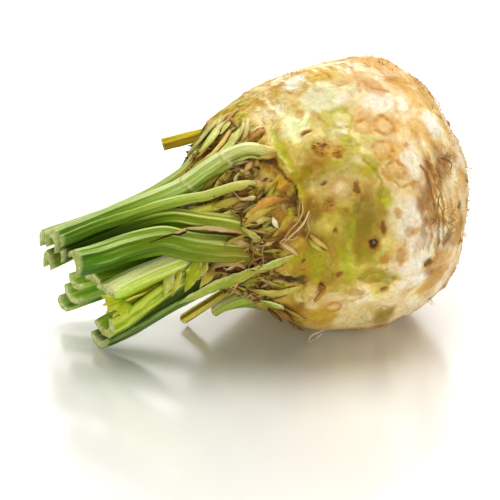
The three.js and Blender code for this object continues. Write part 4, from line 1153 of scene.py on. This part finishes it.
# The larger scraps: path, width, thickness, cup, tints along, edge tint.
scraps = [
    ([[-41.5, -13.5, 94.5], [-44.5, -14, 95.5], [-47.5, -14.5, 94], [-50.5, -15, 91]],
     [2.4, 3.8, 1.6], 0.9, 0.2, [(206, 160, 92), (196, 146, 80), (166, 112, 50)], (130, 86, 38)),
    ([[-41.5, -12, 96], [-45.5, -13, 96.5], [-48, -14, 95]],
     [1.1, 1.5, 0.7], 0.7, 0.15, [(232, 208, 150), (238, 216, 166), (214, 180, 116)], (190, 146, 80)),
    ([[-43.5, 0, 96.5], [-47, -6.5, 96], [-50, -11, 93.5], [-52.5, -12, 90.5]],
     [1.9, 2.4, 1.5], 0.7, 0.25, [(226, 208, 140), (222, 200, 140), (196, 170, 96)], (160, 112, 56)),
    ([[-44.5, 2, 95.5], [-49, -6.5, 95], [-52.5, -10.5, 92]],
     [1.2, 1.7, 0.9], 0.6, 0.25, [(206, 206, 120), (216, 216, 140), (190, 176, 96)], (170, 136, 70)),
    ([[-47.5, -2.5, 93.5], [-52, -7, 93], [-55.5, -9.5, 91], [-59.5, -12, 88.5]],
     [2.7, 3.8, 3], 0.9, 0.2, [(216, 206, 120), (206, 214, 120), (186, 208, 98)], (214, 206, 140)),
    ([[-48.5, 4, 92.5], [-54, -2.5, 92], [-58.5, -5.5, 89.5], [-63.5, -7, 86], [-67, -5, 82.5],
      [-70.5, -1, 77.5]],
     [1.7, 3.1, 1.7], 0.7, 0.25, [(206, 160, 86), (226, 200, 112), (200, 196, 84)], (140, 88, 36)),
    ([[-49.5, 1.5, 92], [-56, -3.5, 89.5], [-60, -5, 87], [-64.5, -3, 82.5]],
     [1.5, 1.9, 0.9], 0.6, 0.25, [(140, 86, 34), (130, 80, 32), (112, 78, 28)], (80, 50, 18)),
    ([[-46, 17, 92], [-49, 3.5, 95], [-50.5, -4.5, 94.5]],
     [1.5, 2, 0.8], 0.8, 0.3, [(200, 160, 96), (176, 132, 70), (150, 106, 52)], (130, 86, 40)),
    ([[-41.5, 13.5, 96], [-47, 9, 95.5], [-51.5, 5, 94], [-55, 1.5, 92]],
     [1.5, 2, 0.9], 0.8, 0.3, [(206, 176, 110), (190, 156, 84), (170, 130, 62)], (150, 106, 50)),
    ([[-46, 11, 93.5], [-52, 3, 93.5], [-57, -1.5, 91.5]],
     [2.2, 3.2, 1.6], 0.7, 0.2, [(216, 206, 130), (210, 212, 124), (186, 196, 90)], (216, 206, 146)),
    ([[-50, 12, 91], [-57, 3.5, 91.5], [-62.5, -1.5, 89], [-67, -3, 86]],
     [3.4, 4.6, 2.6], 0.9, 0.2, [(206, 202, 116), (218, 220, 136), (196, 208, 98)], (176, 156, 76)),
    ([[-41.5, -25.5, 90], [-44.5, -24, 91], [-48, -22, 92], [-51, -20, 92]],
     [0.8, 2.3, 3], 1, 0.15, [(220, 184, 112), (220, 210, 126), (176, 200, 90)], (236, 222, 150)),
    ([[-42.5, -25, 88], [-46.5, -24.5, 88], [-50, -23, 88]],
     [1.1, 2.3, 1.7], 0.8, 0.15, [(180, 136, 64), (196, 170, 88), (176, 176, 70)], (130, 90, 40)),
    ([[-52.5, -21, 86], [-56, -20.5, 86], [-59.5, -19, 84.5]],
     [0.8, 1.6, 0.7], 0.6, 0.2, [(176, 156, 116), (188, 172, 132), (150, 128, 90)], (120, 92, 56)),
    ([[-51, -20.5, 86], [-53.5, -22.5, 85], [-56.5, -22.5, 81.5]],
     [1.5, 3.2, 1.5], 1, 0.2, [(206, 160, 92), (216, 176, 112), (180, 138, 76)], (150, 100, 50)),
    ([[-56.5, -20, 81.5], [-59, -21.5, 80], [-60, -22.5, 77.5]],
     [0.9, 1.6, 0.8], 0.7, 0.2, [(226, 206, 150), (216, 196, 136), (180, 150, 90)], (160, 120, 66)),
    ([[-58.5, -18, 82.5], [-62.5, -18.5, 79.5], [-66.5, -18.5, 75.5]],
     [1.6, 3.2, 1.3], 0.6, 0.25, [(150, 120, 48), (166, 146, 60), (140, 124, 40)], (100, 70, 26)),
    ([[-61, -17, 81.5], [-65, -18, 78], [-68, -18.5, 74.5]],
     [1.1, 2.1, 0.9], 0.6, 0.2, [(190, 176, 86), (196, 188, 92), (160, 150, 56)], (120, 90, 34)),
    ([[-61.5, -15.5, 81.5], [-67, -15.5, 78], [-71, -15, 74]],
     [1.6, 3, 1.3], 0.6, 0.2, [(130, 106, 34), (150, 130, 44), (120, 112, 34)], (90, 66, 20)),
    ([[-57, -26.5, 73], [-61, -25.5, 72.5], [-65, -24, 71], [-70, -20.5, 69]],
     [1.7, 4.3, 1.7], 0.6, 0.2, [(176, 146, 64), (198, 180, 78), (172, 172, 50)], (150, 120, 44)),
    ([[-61.5, -25.5, 71], [-66.5, -23, 70], [-72, -18.5, 68], [-76, -12.5, 66.5]],
     [1.6, 3.1, 1.2], 0.6, 0.15, [(190, 180, 80), (186, 194, 76), (140, 186, 50)], (210, 206, 110)),
    ([[-57, -28, 71], [-60.5, -27, 70.5], [-63, -25.5, 68]],
     [1.1, 2.1, 0.8], 0.6, 0.25, [(160, 122, 70), (176, 144, 88), (140, 106, 54)], (104, 70, 32)),
    ([[-53.5, -26.5, 75.5], [-58.5, -26, 75], [-62, -24, 74]],
     [0.9, 1.9, 0.7], 0.6, 0.2, [(120, 80, 34), (140, 98, 44), (110, 76, 30)], (80, 50, 20)),
    ([[-53, -29.5, 73], [-55.5, -29, 73.5], [-57.5, -27, 73]],
     [1.1, 2.5, 1.1], 1.3, 0.05, [(226, 204, 150), (236, 218, 170), (206, 176, 116)], (190, 150, 90)),
    ([[-41.5, -38, 72.5], [-45, -37, 73.5], [-48.5, -36, 74], [-52.5, -34.5, 72.5], [-57, -33.5, 69.5],
      [-61, -32, 65.5]],
     [1.6, 3.8, 2], 0.8, 0.25, [(104, 60, 22), (212, 158, 72), (206, 180, 92)], (168, 106, 44)),
    ([[-47, -36, 71], [-51.5, -35.5, 70.5], [-55.5, -34.5, 68.5], [-60.5, -33, 64.5]],
     [0.9, 3.6, 1.7], 0.6, 0.2, [(180, 150, 56), (206, 190, 84), (206, 186, 96)], (180, 116, 48)),
    ([[-49.5, -36.5, 66], [-53.5, -35.5, 66.5], [-57.5, -33.5, 65], [-61, -32.5, 63]],
     [1.5, 3.8, 1.7], 0.7, 0.2, [(196, 170, 84), (218, 206, 118), (196, 170, 84)], (150, 104, 44)),
    ([[-60.5, -32, 68.5], [-61.5, -32.5, 65.5], [-61.5, -33, 63]],
     [0.5, 0.8, 0.5], 0.5, 0.1, [(140, 80, 30), (120, 70, 26), (130, 80, 30)], (96, 56, 20)),
    ([[-49.5, -36, 67], [-49.5, -38.5, 65.5], [-48, -39.5, 62.5]],
     [1.2, 2.5, 0.8], 1.2, 0.08, [(242, 230, 192), (244, 234, 200), (220, 196, 146)], (214, 190, 140)),
    ([[-52.5, -37.5, 56], [-55.5, -36.5, 58], [-58.5, -35, 60.5], [-61.5, -32, 63]],
     [0.5, 3, 4], 0.9, 0.15, [(186, 150, 80), (192, 186, 94), (176, 196, 84)], (206, 196, 120)),
    ([[-57.5, -34.5, 54.5], [-62, -33, 56.5], [-64.5, -31.5, 57], [-67, -29.5, 56.5]],
     [1.5, 3.6, 1.3], 0.6, 0.25, [(176, 134, 80), (206, 174, 116), (196, 164, 104)], (146, 104, 56)),
    ([[-42.5, -45.5, 52.5], [-45.5, -45, 55.5], [-47.5, -44, 57], [-49, -42, 58]],
     [1.1, 2.1, 1.3], 0.9, 0.1, [(206, 166, 110), (228, 198, 144), (206, 172, 116)], (160, 116, 60)),
    ([[-43, -44.5, 52.5], [-47, -44.5, 51.5], [-53, -42.5, 49], [-57, -40, 47.5], [-60, -38, 47]],
     [1.2, 3.4, 1.9], 0.8, 0.15, [(190, 180, 70), (176, 192, 84), (196, 204, 120)], (226, 218, 156)),
    ([[-58, -32, 42], [-62, -32, 46], [-66, -30, 46.5], [-69, -25.5, 44.5], [-71.5, -18, 39.5]],
     [1.3, 4, 1.1], 0.5, 0.3, [(176, 140, 84), (196, 166, 110), (180, 148, 92)], (140, 98, 50)),
    ([[-57.5, -29.5, 40], [-63, -27.5, 41.5], [-66.5, -23.5, 40.5], [-69, -17, 36.5]],
     [1.3, 3.8, 1.3], 0.5, 0.3, [(76, 46, 16), (92, 60, 24), (100, 70, 28)], (60, 36, 12)),
    ([[-61.5, -26.5, 37.5], [-66, -24.5, 38.5], [-69, -18.5, 34.5], [-75, -20.5, 33.5]],
     [2.7, 5.1, 2.3], 0.6, 0.3, [(140, 110, 34), (172, 150, 54), (200, 180, 88)], (206, 186, 104)),
    ([[-51.5, -37, 44], [-57.5, -35, 43], [-61.5, -32, 40.5], [-65, -25, 35.5], [-73, -21.5, 31.5],
      [-82.5, -16, 26]],
     [4, 6.2, 3.4], 0.8, 0.15, [(176, 170, 66), (166, 180, 62), (172, 192, 96)], (228, 226, 160)),
    ([[-51.5, -35.5, 40.5], [-56.5, -33, 38.5], [-60.5, -29, 35.5]],
     [2, 3.2, 1.3], 0.7, 0.2, [(130, 116, 36), (142, 136, 44), (120, 120, 36)], (100, 80, 26)),
    ([[-38, -44, 38], [-43.5, -41.5, 35], [-49, -38, 33], [-54, -34, 33], [-57.5, -30.5, 34]],
     [1.7, 4.4, 1.9], 0.8, 0.2, [(200, 184, 84), (192, 180, 86), (170, 156, 64)], (216, 200, 120)),
    ([[-38.5, -42.5, 35], [-44, -38.5, 30.5], [-49, -34, 28.5]],
     [1.3, 3, 1.2], 0.7, 0.15, [(190, 160, 84), (196, 170, 92), (160, 130, 56)], (130, 96, 40)),
    ([[-34.5, -28, 17], [-42.5, -33.5, 22.5], [-49, -35, 27], [-53.5, -32.5, 29]],
     [1.3, 3.8, 3.8], 1, 0.15, [(206, 196, 108), (186, 202, 110), (140, 172, 70)], (226, 224, 150)),
    ([[-33.5, -46.5, 38], [-32, -49, 37.5], [-32.5, -47.5, 34], [-33.5, -45, 30.5], [-32.5, -39, 23]],
     [1.2, 2, 1.1], 1, 0.1, [(176, 112, 44), (204, 146, 66), (206, 162, 86)], (144, 90, 34)),
    ([[-38, -46, 61.5], [-36.5, -49, 59.5], [-33.5, -50.5, 57], [-30.5, -51, 54.5]],
     [1.3, 2.3, 0.8], 0.9, 0.15, [(176, 140, 56), (212, 182, 100), (166, 130, 50)], (120, 84, 30)),
    ([[-38.5, -46, 59.5], [-37.5, -48, 58], [-35.5, -49.5, 56], [-32.5, -49.5, 54]],
     [1.2, 2.7, 1.1], 0.7, 0.15, [(170, 156, 50), (200, 192, 84), (176, 166, 50)], (140, 110, 40)),
    # a dark strip as painted shade in a crack along the front stalk, then its pale torn edge
    ([[-96.1, -19.7, 57.8], [-93.6, -21, 59], [-91.1, -22.2, 60.2], [-87.3, -23.3, 61.3], [-84.9, -24, 61],
      [-82.8, -24, 61.5], [-81, -23.9, 61.9]],
     [0.3, 0.75, 0.9], 0.5, 0, [(60, 50, 10), (44, 30, 8), (50, 34, 10)], (30, 22, 6)),
    ([[-87.5, -23.1, 62.1], [-85.4, -24.1, 62.2], [-82.8, -24.2, 63], [-81, -24, 63.2]],
     [0.6, 1.3, 0.8], 0.4, 0.1, [(176, 170, 70), (206, 176, 110), (186, 150, 80)], (130, 96, 44)),
    ([[-81.3, -22.7, 62.5], [-77.6, -25.2, 62.9], [-73.5, -27.7, 63.2], [-69.2, -29.8, 62.6],
      [-63.7, -32.3, 61.7], [-60.3, -34.2, 60.6]],
     [1, 2.2, 1.3], 0.5, 0.1, [(206, 186, 120), (214, 190, 128), (170, 132, 66)], (132, 96, 44)),
    # a dark strip as painted shade where the front stalk goes under the arched one
    ([[-74.7, -27.4, 61.4], [-69.6, -29.8, 61.1], [-63.3, -33.2, 60.3], [-58.4, -35.9, 59]],
     [0.7, 1.1, 0.8], 0.5, 0, [(60, 44, 12), (44, 30, 8), (66, 42, 14)], (34, 24, 8)),
    ([[-77.1, -26.6, 50.7], [-78.8, -27.3, 47.8], [-79.9, -25.5, 43.2], [-80.8, -22.8, 38.2],
      [-81.6, -20.3, 32.9]],
     [3.4, 6.8, 3.6], 0.9, 0.15, [(150, 156, 34), (172, 184, 34), (170, 178, 40)], (214, 216, 110)),
    ([[-74.6, -26.9, 50], [-75.5, -26.8, 47], [-77, -24.9, 42.4], [-78.3, -22.8, 38.1]],
     [2.4, 4.4, 1.6], 0.8, 0.2, [(140, 130, 34), (186, 186, 70), (160, 150, 50)], (224, 216, 140)),
    ([[-71.1, -27.7, 44.6], [-73.8, -26.1, 40.5], [-76.1, -23, 35]],
     [1.8, 4, 1.8], 0.8, 0.2, [(132, 104, 34), (190, 176, 66), (208, 196, 96)], (220, 204, 120)),
    ([[-86.4, -21.2, 44.5], [-88.6, -21.1, 40.4], [-89.9, -20.4, 35.8], [-90.9, -20.2, 31.8]],
     [2, 4.4, 2.4], 0.8, 0.25, [(176, 172, 60), (204, 208, 104), (170, 190, 50)], (236, 234, 176)),
    ([[-84.3, -22.7, 44.7], [-85.6, -22.5, 40.4], [-87.2, -21.7, 35.8], [-87.6, -21.3, 32.5]],
     [1.6, 3.4, 1.4], 0.8, 0.25, [(160, 150, 44), (190, 194, 70), (150, 160, 40)], (226, 222, 150)),
    ([[-46.4, 16.9, 92.1], [-51.5, 15.8, 90.1], [-56, 15.1, 87], [-59.2, 15.6, 82.8], [-61.3, 16.9, 78.6]],
     [3, 6.4, 3.4], 1, 0.15, [(216, 196, 120), (220, 216, 150), (176, 196, 96)], (236, 234, 180)),
    ([[-44.1, 14.5, 94.3], [-48.3, 13.4, 93], [-52.1, 12.3, 89.9], [-54.6, 11.8, 86.5]],
     [1.6, 3.2, 1.4], 0.8, 0.25, [(206, 176, 110), (216, 204, 138), (190, 180, 90)], (150, 116, 56)),
    # two dark scraps set into gaps between the stalks as painted shade
    ([[-80.8, -2.1, 61.9], [-79.2, -2.5, 62.5], [-76.9, -1.3, 62.3], [-73.5, 1.6, 61.5]],
     [1.4, 3.4, 1.6], 1, 0.1, [(60, 70, 16), (64, 74, 18), (70, 66, 20)], (40, 44, 10)),
    ([[-76.1, -19.5, 37.1], [-75.2, -20.6, 38.1], [-73.6, -20.1, 38.2], [-71.2, -18.6, 38.4]],
     [1.4, 3.4, 1.6], 1, 0.1, [(84, 80, 22), (96, 90, 28), (90, 70, 24)], (50, 44, 14)),
    ([[-66.5, -24.5, 66.6], [-63.6, -25.4, 67.6], [-60.8, -26.8, 68.8], [-57.6, -27.6, 70.2]],
     [1, 2.6, 1.2], 0.7, 0.2, [(216, 206, 130), (210, 190, 104), (176, 140, 70)], (150, 110, 50)),
    ([[-69, -32.3, 56.6], [-66, -32.4, 58], [-63, -34.2, 59.6], [-59.6, -34.6, 61]],
     [0.8, 2.2, 1], 0.6, 0.2, [(156, 148, 50), (172, 150, 62), (156, 122, 58)], (120, 92, 38)),
    ([[-47, 11, 93], [-54, 6.5, 92], [-60, 3.5, 88.5], [-64.5, 3.5, 83]],
     [2.2, 3.6, 2.2], 0.8, 0.2, [(222, 206, 138), (214, 222, 130), (176, 200, 86)], (222, 206, 150)),
    ([[-48, 18, 91.5], [-55, 13, 90], [-61, 11.5, 85], [-66, 12, 79]],
     [2, 3.2, 1.8], 0.8, 0.2, [(216, 196, 120), (204, 210, 116), (184, 200, 90)], (214, 190, 130)),
    ([[-52, -4, 92], [-57, -9, 89.5], [-62, -10, 86], [-66, -8.5, 81.5]],
     [1.8, 3, 1.8], 0.8, 0.2, [(222, 196, 124), (216, 214, 124), (196, 206, 100)], (226, 206, 150)),
    ([[-47, -34, 25], [-43.5, -35.5, 21], [-39, -36.5, 17.5]],
     [1.4, 3, 1.2], 0.6, 0.25, [(120, 84, 40), (156, 116, 58), (110, 76, 34)], (70, 44, 20)),
    ([[-49, -30.5, 23.5], [-46, -31, 19.5], [-42, -31.5, 15.5]],
     [1.2, 2.6, 1], 0.6, 0.3, [(90, 60, 28), (120, 84, 42), (86, 56, 26)], (56, 34, 14)),
    ([[-44, -36.5, 25], [-39.5, -38.5, 21.5], [-34.5, -39.5, 19]],
     [1, 2.4, 0.9], 0.5, 0.25, [(160, 130, 56), (186, 158, 76), (150, 116, 50)], (110, 76, 34)),
    ([[-41, -34.5, 17.5], [-38.5, -36, 14.5], [-34.5, -37, 12.5]],
     [1, 2.2, 0.8], 0.5, 0.3, [(110, 76, 36), (136, 98, 50), (96, 64, 30)], (64, 40, 18)),
]


def makeScraps(material):  # flat sides face away from the bulb, less so along its length
    paths, wides, thicks, cups, tints, edges = zip(*scraps)
    backs = unit(fromMiddle(paths) * scrapMake["back"])
    makeStrands("crownScraps", scrapMake, material, paths, backs, wides, thicks, cups, tints, edges)


blades = {
    "seed": 7,  # of the draws for blades and then shreds
    "count": 240, "steps": 22, "around": 12, "ragged": 0.35,
    "frontShare": 0.6, "fromRoot": (140, 160), "turned": 0.5, "length": (5, 13), "lift": (0.6, 2.6),
    "wide": (1.3, 3.4), "alongWide": [0.6, 1, 0.55], "thick": (0.4, 0.8), "cup": (0.05, 0.3),
    "tints": [[176, 150, 60], [206, 176, 92], [150, 108, 48], [186, 176, 70], [214, 188, 120],
              [120, 84, 36], [196, 190, 96], [140, 112, 40]],
}


def makeBlades(rng, material):  # torn leaf bases lying over one another round the crown
    n = blades["count"]
    isFront = np.arange(n) < blades["frontShare"] * n
    around = np.where(isFront, rng.uniform(0, 150, n), rng.uniform(-180, 0, n))
    v = direction(rng.uniform(*blades["fromRoot"], n), around)
    across = unit(np.cross(v, [1.0, 0, 0]))
    down = unit(np.cross(across, v))
    down = down * np.sign(down[:, :1]) * -1
    along = unit(down + across * rng.normal(0, blades["turned"], (n, 1)))
    length = rng.uniform(*blades["length"], (n, 1))
    foot = onBulb(v, 0.2)
    high = rng.uniform(*blades["lift"], (n, 1))
    paths = np.stack([foot - along * length * 0.45, foot + v * high * 0.6,
                      foot + along * length * 0.3 + v * high,
                      foot + along * length * 0.55 + v * high * 1.4], 1)
    wide = rng.uniform(*blades["wide"], (n, 1)) * blades["alongWide"]
    tints = np.array(blades["tints"])
    pick = tints[rng.integers(0, len(tints), n)]
    thick, cup = rng.uniform(*blades["thick"], n), rng.uniform(*blades["cup"], n)
    makeStrands("crownBlades", blades, material, paths, v, wide, thick, cup,
                np.stack([pick * 0.7, pick, pick * 0.92], 1), pick * 0.62)


shreds = {
    "count": 620, "steps": 14, "around": 8, "ragged": 0.35,
    "fromRoot": (139, 164), "length": (3, 11), "wide": (0.3, 1), "alongWide": [1, 0.85, 0.5],
    "thick": (0.25, 0.6), "cup": (0, 0.3),
    "bases": [[186, 134, 58], [206, 172, 82], [150, 100, 42], [190, 172, 70], [206, 170, 104],
              [110, 74, 30], [172, 160, 58], [132, 92, 40], [214, 186, 116]],
    "tips": [[150, 98, 38], [218, 190, 110], [116, 74, 28], [196, 184, 76], [222, 200, 146],
             [84, 54, 20], [160, 140, 52], [96, 64, 26], [226, 206, 156]],
}


def makeShreds(rng, material):
    # seeded all over the crown, leaning toward the stalks, longest on the side facing front
    n = shreds["count"]
    fromRoot, around = rng.uniform(*shreds["fromRoot"], n), rng.uniform(-180, 180, n)
    v = direction(fromRoot, around)
    foot = onBulb(v, -1.0)
    across = unit(np.cross(v, [1.0, 0, 0]))
    lean = unit(0.55 * v + [-0.8, 0, 0] + across * rng.normal(0, 0.45, (n, 1)) + [0, 0, -0.05])
    isSeen = ease(10, 35, around) * ease(140, 115, around)
    grown = (ease(134, 148, fromRoot) * (0.5 + 0.5 * isSeen))[:, None].clip(0.3)
    length = rng.uniform(*shreds["length"], (n, 1)) * grown
    turn = across * rng.normal(0, 0.4, (n, 1)) - v * rng.uniform(-0.1, 0.35, (n, 1))
    paths = np.stack([foot, foot + lean * length * 0.35 + v * 0.5,
                      foot + lean * length * 0.7 + turn * length * 0.25,
                      foot + lean * length + turn * length * 0.7], 1)
    wide = rng.uniform(*shreds["wide"], (n, 1)) ** 2.2 * 2.2 * shreds["alongWide"]
    pick = rng.integers(0, len(shreds["bases"]), n)
    base, tip = np.array(shreds["bases"])[pick], np.array(shreds["tips"])[pick]
    thick, cup = rng.uniform(*shreds["thick"], n), rng.uniform(*shreds["cup"], n)
    makeStrands("crownShreds", shreds, material, paths, v, wide, thick, cup,
                np.stack([base * 0.8, (base + tip) / 2, tip], 1), tip * 0.72)


frills = {
    "steps": 44, "around": 14, "ragged": 0.75, "back": [-0.4, -0.8, 0.45], "thick": 0.7, "cup": 0.3,
    "tints": [[(150, 178, 34), (192, 206, 46), (206, 200, 44)],
              [(142, 172, 34), (182, 198, 42), (216, 206, 66)]],
    "edge": (228, 230, 110),
    # path, width
    "rows": [
        ([[-105.6, -13.9, 33], [-109.7, -13.2, 33.1], [-112.4, -11.2, 33.2], [-113.9, -8.8, 33.1]],
         [2, 3.4, 2]),
        ([[-105.9, -14.6, 32.5], [-109.9, -14.8, 32.1], [-112.8, -13.4, 31.1], [-114.5, -11.4, 29.9]],
         [2, 3.6, 2.4]),
        ([[-105.7, -15.4, 32.3], [-109.6, -16.2, 30.8], [-112.3, -15.2, 29.1], [-113.7, -13.6, 27.3]],
         [2, 3.8, 2.6]),
        ([[-105.5, -15.7, 32], [-108.6, -17, 30.1], [-110.7, -16.7, 27.7], [-111.5, -15.6, 25.5]],
         [2, 3.6, 2.4]),
        ([[-105.2, -16.1, 31.6], [-107.1, -17.5, 29.5], [-108.2, -17.4, 27.4], [-108.2, -16.7, 25.3]],
         [1.8, 3.2, 2]),
        ([[-104.3, -16, 31.4], [-105.2, -17.7, 29.6], [-105.6, -17.9, 27.6], [-105, -17.3, 25.8]],
         [1.6, 2.6, 1.4]),
    ],
}


def makeFrills(material):  # the young leaf's frilled edge
    paths, wides = zip(*frills["rows"])
    n = len(paths)
    makeStrands("youngLeafFrills", frills, material, paths, [frills["back"]] * n, wides,
                [frills["thick"]] * n, [frills["cup"]] * n, frills["tints"] * (n // 2), [frills["edge"]] * n)


rootlets = {
    "steps": 44, "around": 6, "ragged": 0.25,
    # path, thickness, tint
    "rows": [
        ([[-38, -39.5, 73.5], [-40, -44, 70.5], [-42.5, -45, 67], [-46, -45, 64], [-48.5, -44, 59.5]],
         0.8, (206, 170, 112)),
        ([[-36.5, -43, 70], [-39.5, -45.5, 67.5], [-42.5, -46.5, 65], [-45.5, -45.5, 62],
          [-48.5, -44, 58.5]], 1, (222, 196, 146)),
        ([[-39, -39.5, 73], [-41.5, -43.5, 69.5], [-41.5, -45.5, 66], [-42.5, -44, 60.5]],
         0.7, (190, 150, 96)),
        ([[-41.5, -44, 60.5], [-45, -45.5, 60], [-48, -44.5, 60.5], [-49.5, -42.5, 58]],
         0.7, (214, 186, 132)),
        ([[-36, -43.5, 69], [-38.5, -45.5, 66.5], [-38.5, -47, 63.5], [-39.5, -45.5, 59.5]],
         0.8, (206, 176, 120)),
        ([[-54.5, -37, 58.5], [-58.5, -39.5, 56.5], [-60.5, -41, 53], [-59, -41, 48.5]],
         0.6, (150, 110, 60)),
        ([[-53.5, -38.5, 57.5], [-56, -40.5, 55], [-56, -41.5, 50.5], [-58, -40.5, 47]],
         0.7, (176, 140, 84)),
        ([[-59.5, -36.5, 57.5], [-61.5, -39.5, 54.5], [-60, -41.5, 51.5], [-56.5, -42, 49]],
         0.6, (130, 94, 50)),
        ([[-52.5, -39, 51.5], [-57, -40, 52], [-61, -40.5, 50.5], [-62, -39, 46.5]], 0.6, (160, 120, 70)),
        ([[-20, -29.5, 7], [-23, -29, 5.5], [-26.5, -28, 4], [-28, -28.5, 2], [-25.5, -29, 2.5],
          [-22, -29.5, 5]], 1.1, (236, 222, 190)),
        ([[25.5, -53.5, 61.5], [21, -56.5, 62], [24.5, -55.5, 59.5], [20.5, -56.5, 59.5], [24, -56, 57],
          [21.5, -57, 56], [19.5, -57, 54]], 0.6, (196, 150, 96)),
        ([[12.5, -51, 82], [12.5, -54, 78], [12, -56.5, 73], [13.5, -57.5, 68], [16, -56.5, 60.5]],
         0.6, (176, 128, 78)),
        ([[16, -52.5, 76], [17, -54.5, 73], [15, -56.5, 70], [17, -57, 65], [18.5, -56, 59]],
         0.5, (150, 104, 60)),
        ([[22.5, -45, 83.5], [24.5, -47, 83], [25, -49.5, 82], [22, -53, 81]], 0.6, (110, 76, 40)),
    ],
}


def makeRootlets(material):  # fine rootlets, thinner toward their tips
    paths, thicks, tints = zip(*rootlets["rows"])
    wides = [[thick, thick * 0.9, thick * 0.5] for thick in thicks]
    makeStrands("rootlets", rootlets, material, paths, unit(fromMiddle(paths)), wides,
                [thick * 0.8 for thick in thicks], np.zeros(len(paths)), [[tint] * 3 for tint in tints],
                [np.array(tint) * 0.7 for tint in tints])


hairs = {
    "seed": 8, "steps": 6, "around": 3, "ragged": 0, "thick": (0.13, 0.3), "alongWide": [1, 0.9, 0.6],
    "tints": [[184, 134, 76], [200, 156, 98], [216, 182, 130]],
    # tufts: from the root end, round, spread in degrees, how many, length
    "tufts": [
        (64, 58, 5, 46, 5.5), (71, 88, 6, 40, 5), (70, -2, 8, 40, 3.6), (52, 4, 10, 60, 3.4),
        (45, 30, 12, 60, 3.4), (40, 60, 14, 60, 3.2), (38, 95, 14, 60, 3.4), (60, 128, 12, 26, 3.6),
        (85, 150, 16, 22, 3.6), (110, 140, 12, 20, 4), (108, -10, 6, 20, 3), (118, 42, 3, 26, 1.8),
        (20, 150, 20, 60, 3.4), (50, 200, 25, 60, 3.2), (80, 260, 30, 60, 2.8), (132, 60, 9, 60, 4),
        (134, 100, 12, 60, 4), (134, 20, 10, 50, 3.5), (136, 200, 30, 60, 4), (78, 101, 3, 16, 2.6),
    ],
}


def makeHairs(material):  # hairs in tufts, scattered round each tuft's middle and bent at random
    rng = np.random.default_rng(hairs["seed"])
    tufts = np.array(hairs["tufts"], float)
    tufts = np.repeat(tufts, tufts[:, 3].astype(int), 0)
    spread, reach = tufts[:, 2:3], tufts[:, 4:5]
    n = len(tufts)
    v = unit(direction(tufts[:, 0], tufts[:, 1]) + rng.normal(0, 1, (n, 3)) * np.radians(spread) * 0.7)
    foot = onBulb(v, -0.4)
    lean = unit(v * 0.75 + rng.normal(0, 0.6, (n, 3)))
    bend = rng.normal(0, 0.55, (n, 3))
    length = reach * rng.uniform(0.35, 1.15, (n, 1))
    paths = np.stack([foot, foot + lean * length * 0.4, foot + lean * length * 0.75 + bend * length * 0.22,
                      foot + lean * length + bend * length * 0.6], 1)
    paths[..., 2] = np.maximum(paths[..., 2], 0.3)
    shade = rng.uniform(0.7, 1.15, (n, 1, 1)) * np.array(hairs["tints"])
    thick = rng.uniform(*hairs["thick"], (n, 1))
    shade = shade.clip(0, 255)
    makeStrands("rootHairs", hairs, material, paths, v, thick * hairs["alongWide"], thick[:, 0],
                np.zeros(n), shade, shade[:, 1])


def scrapMaterial():  # long fibres and blots over the tint, fibres as a bump
    finish = softFinish(0.12, (1.0, 0.7, 0.3), 0.0015, 0.15, (1, 0.9, 0.6, 1))
    material, tree, shader = newMaterial("dryScrap", finish)
    fibre = noiseOf(tree, drawnOut(tree, 0.12), 40, 4, 0.6)
    blot = noiseOf(tree, inPlace(tree), 500, 4, 0.6)
    colour = tonedTint(tree, (fibre, 0.78, 1.18), (blot, 0.85, 1.12))
    finishOff(tree, shader, colour, (blot, -0.08, 0.1), fibre, 0.0004, 0.6)
    return material


makeCamera(view, np.array([0, 0, bulb["height"]]))
makeStudio(studio)
print("camera, floor and light made")
makeBulb(bulbMaterial())
print("bulb made")
stalkSkin = stalkMaterial()
for k, (name, spec) in enumerate(stalks.items()):
    makeStalk(name, spec, stalkSkin, stalkMake["firstSeed"] + stalkMake["seedStep"] * k)
print("stalks made")
scrapSkin = scrapMaterial()
makeScraps(scrapSkin)
crownDraws = np.random.default_rng(blades["seed"])
makeBlades(crownDraws, scrapSkin)
makeShreds(crownDraws, scrapSkin)
makeFrills(scrapSkin)
makeRootlets(scrapSkin)
makeHairs(scrapSkin)
print("crown and rootlets made")
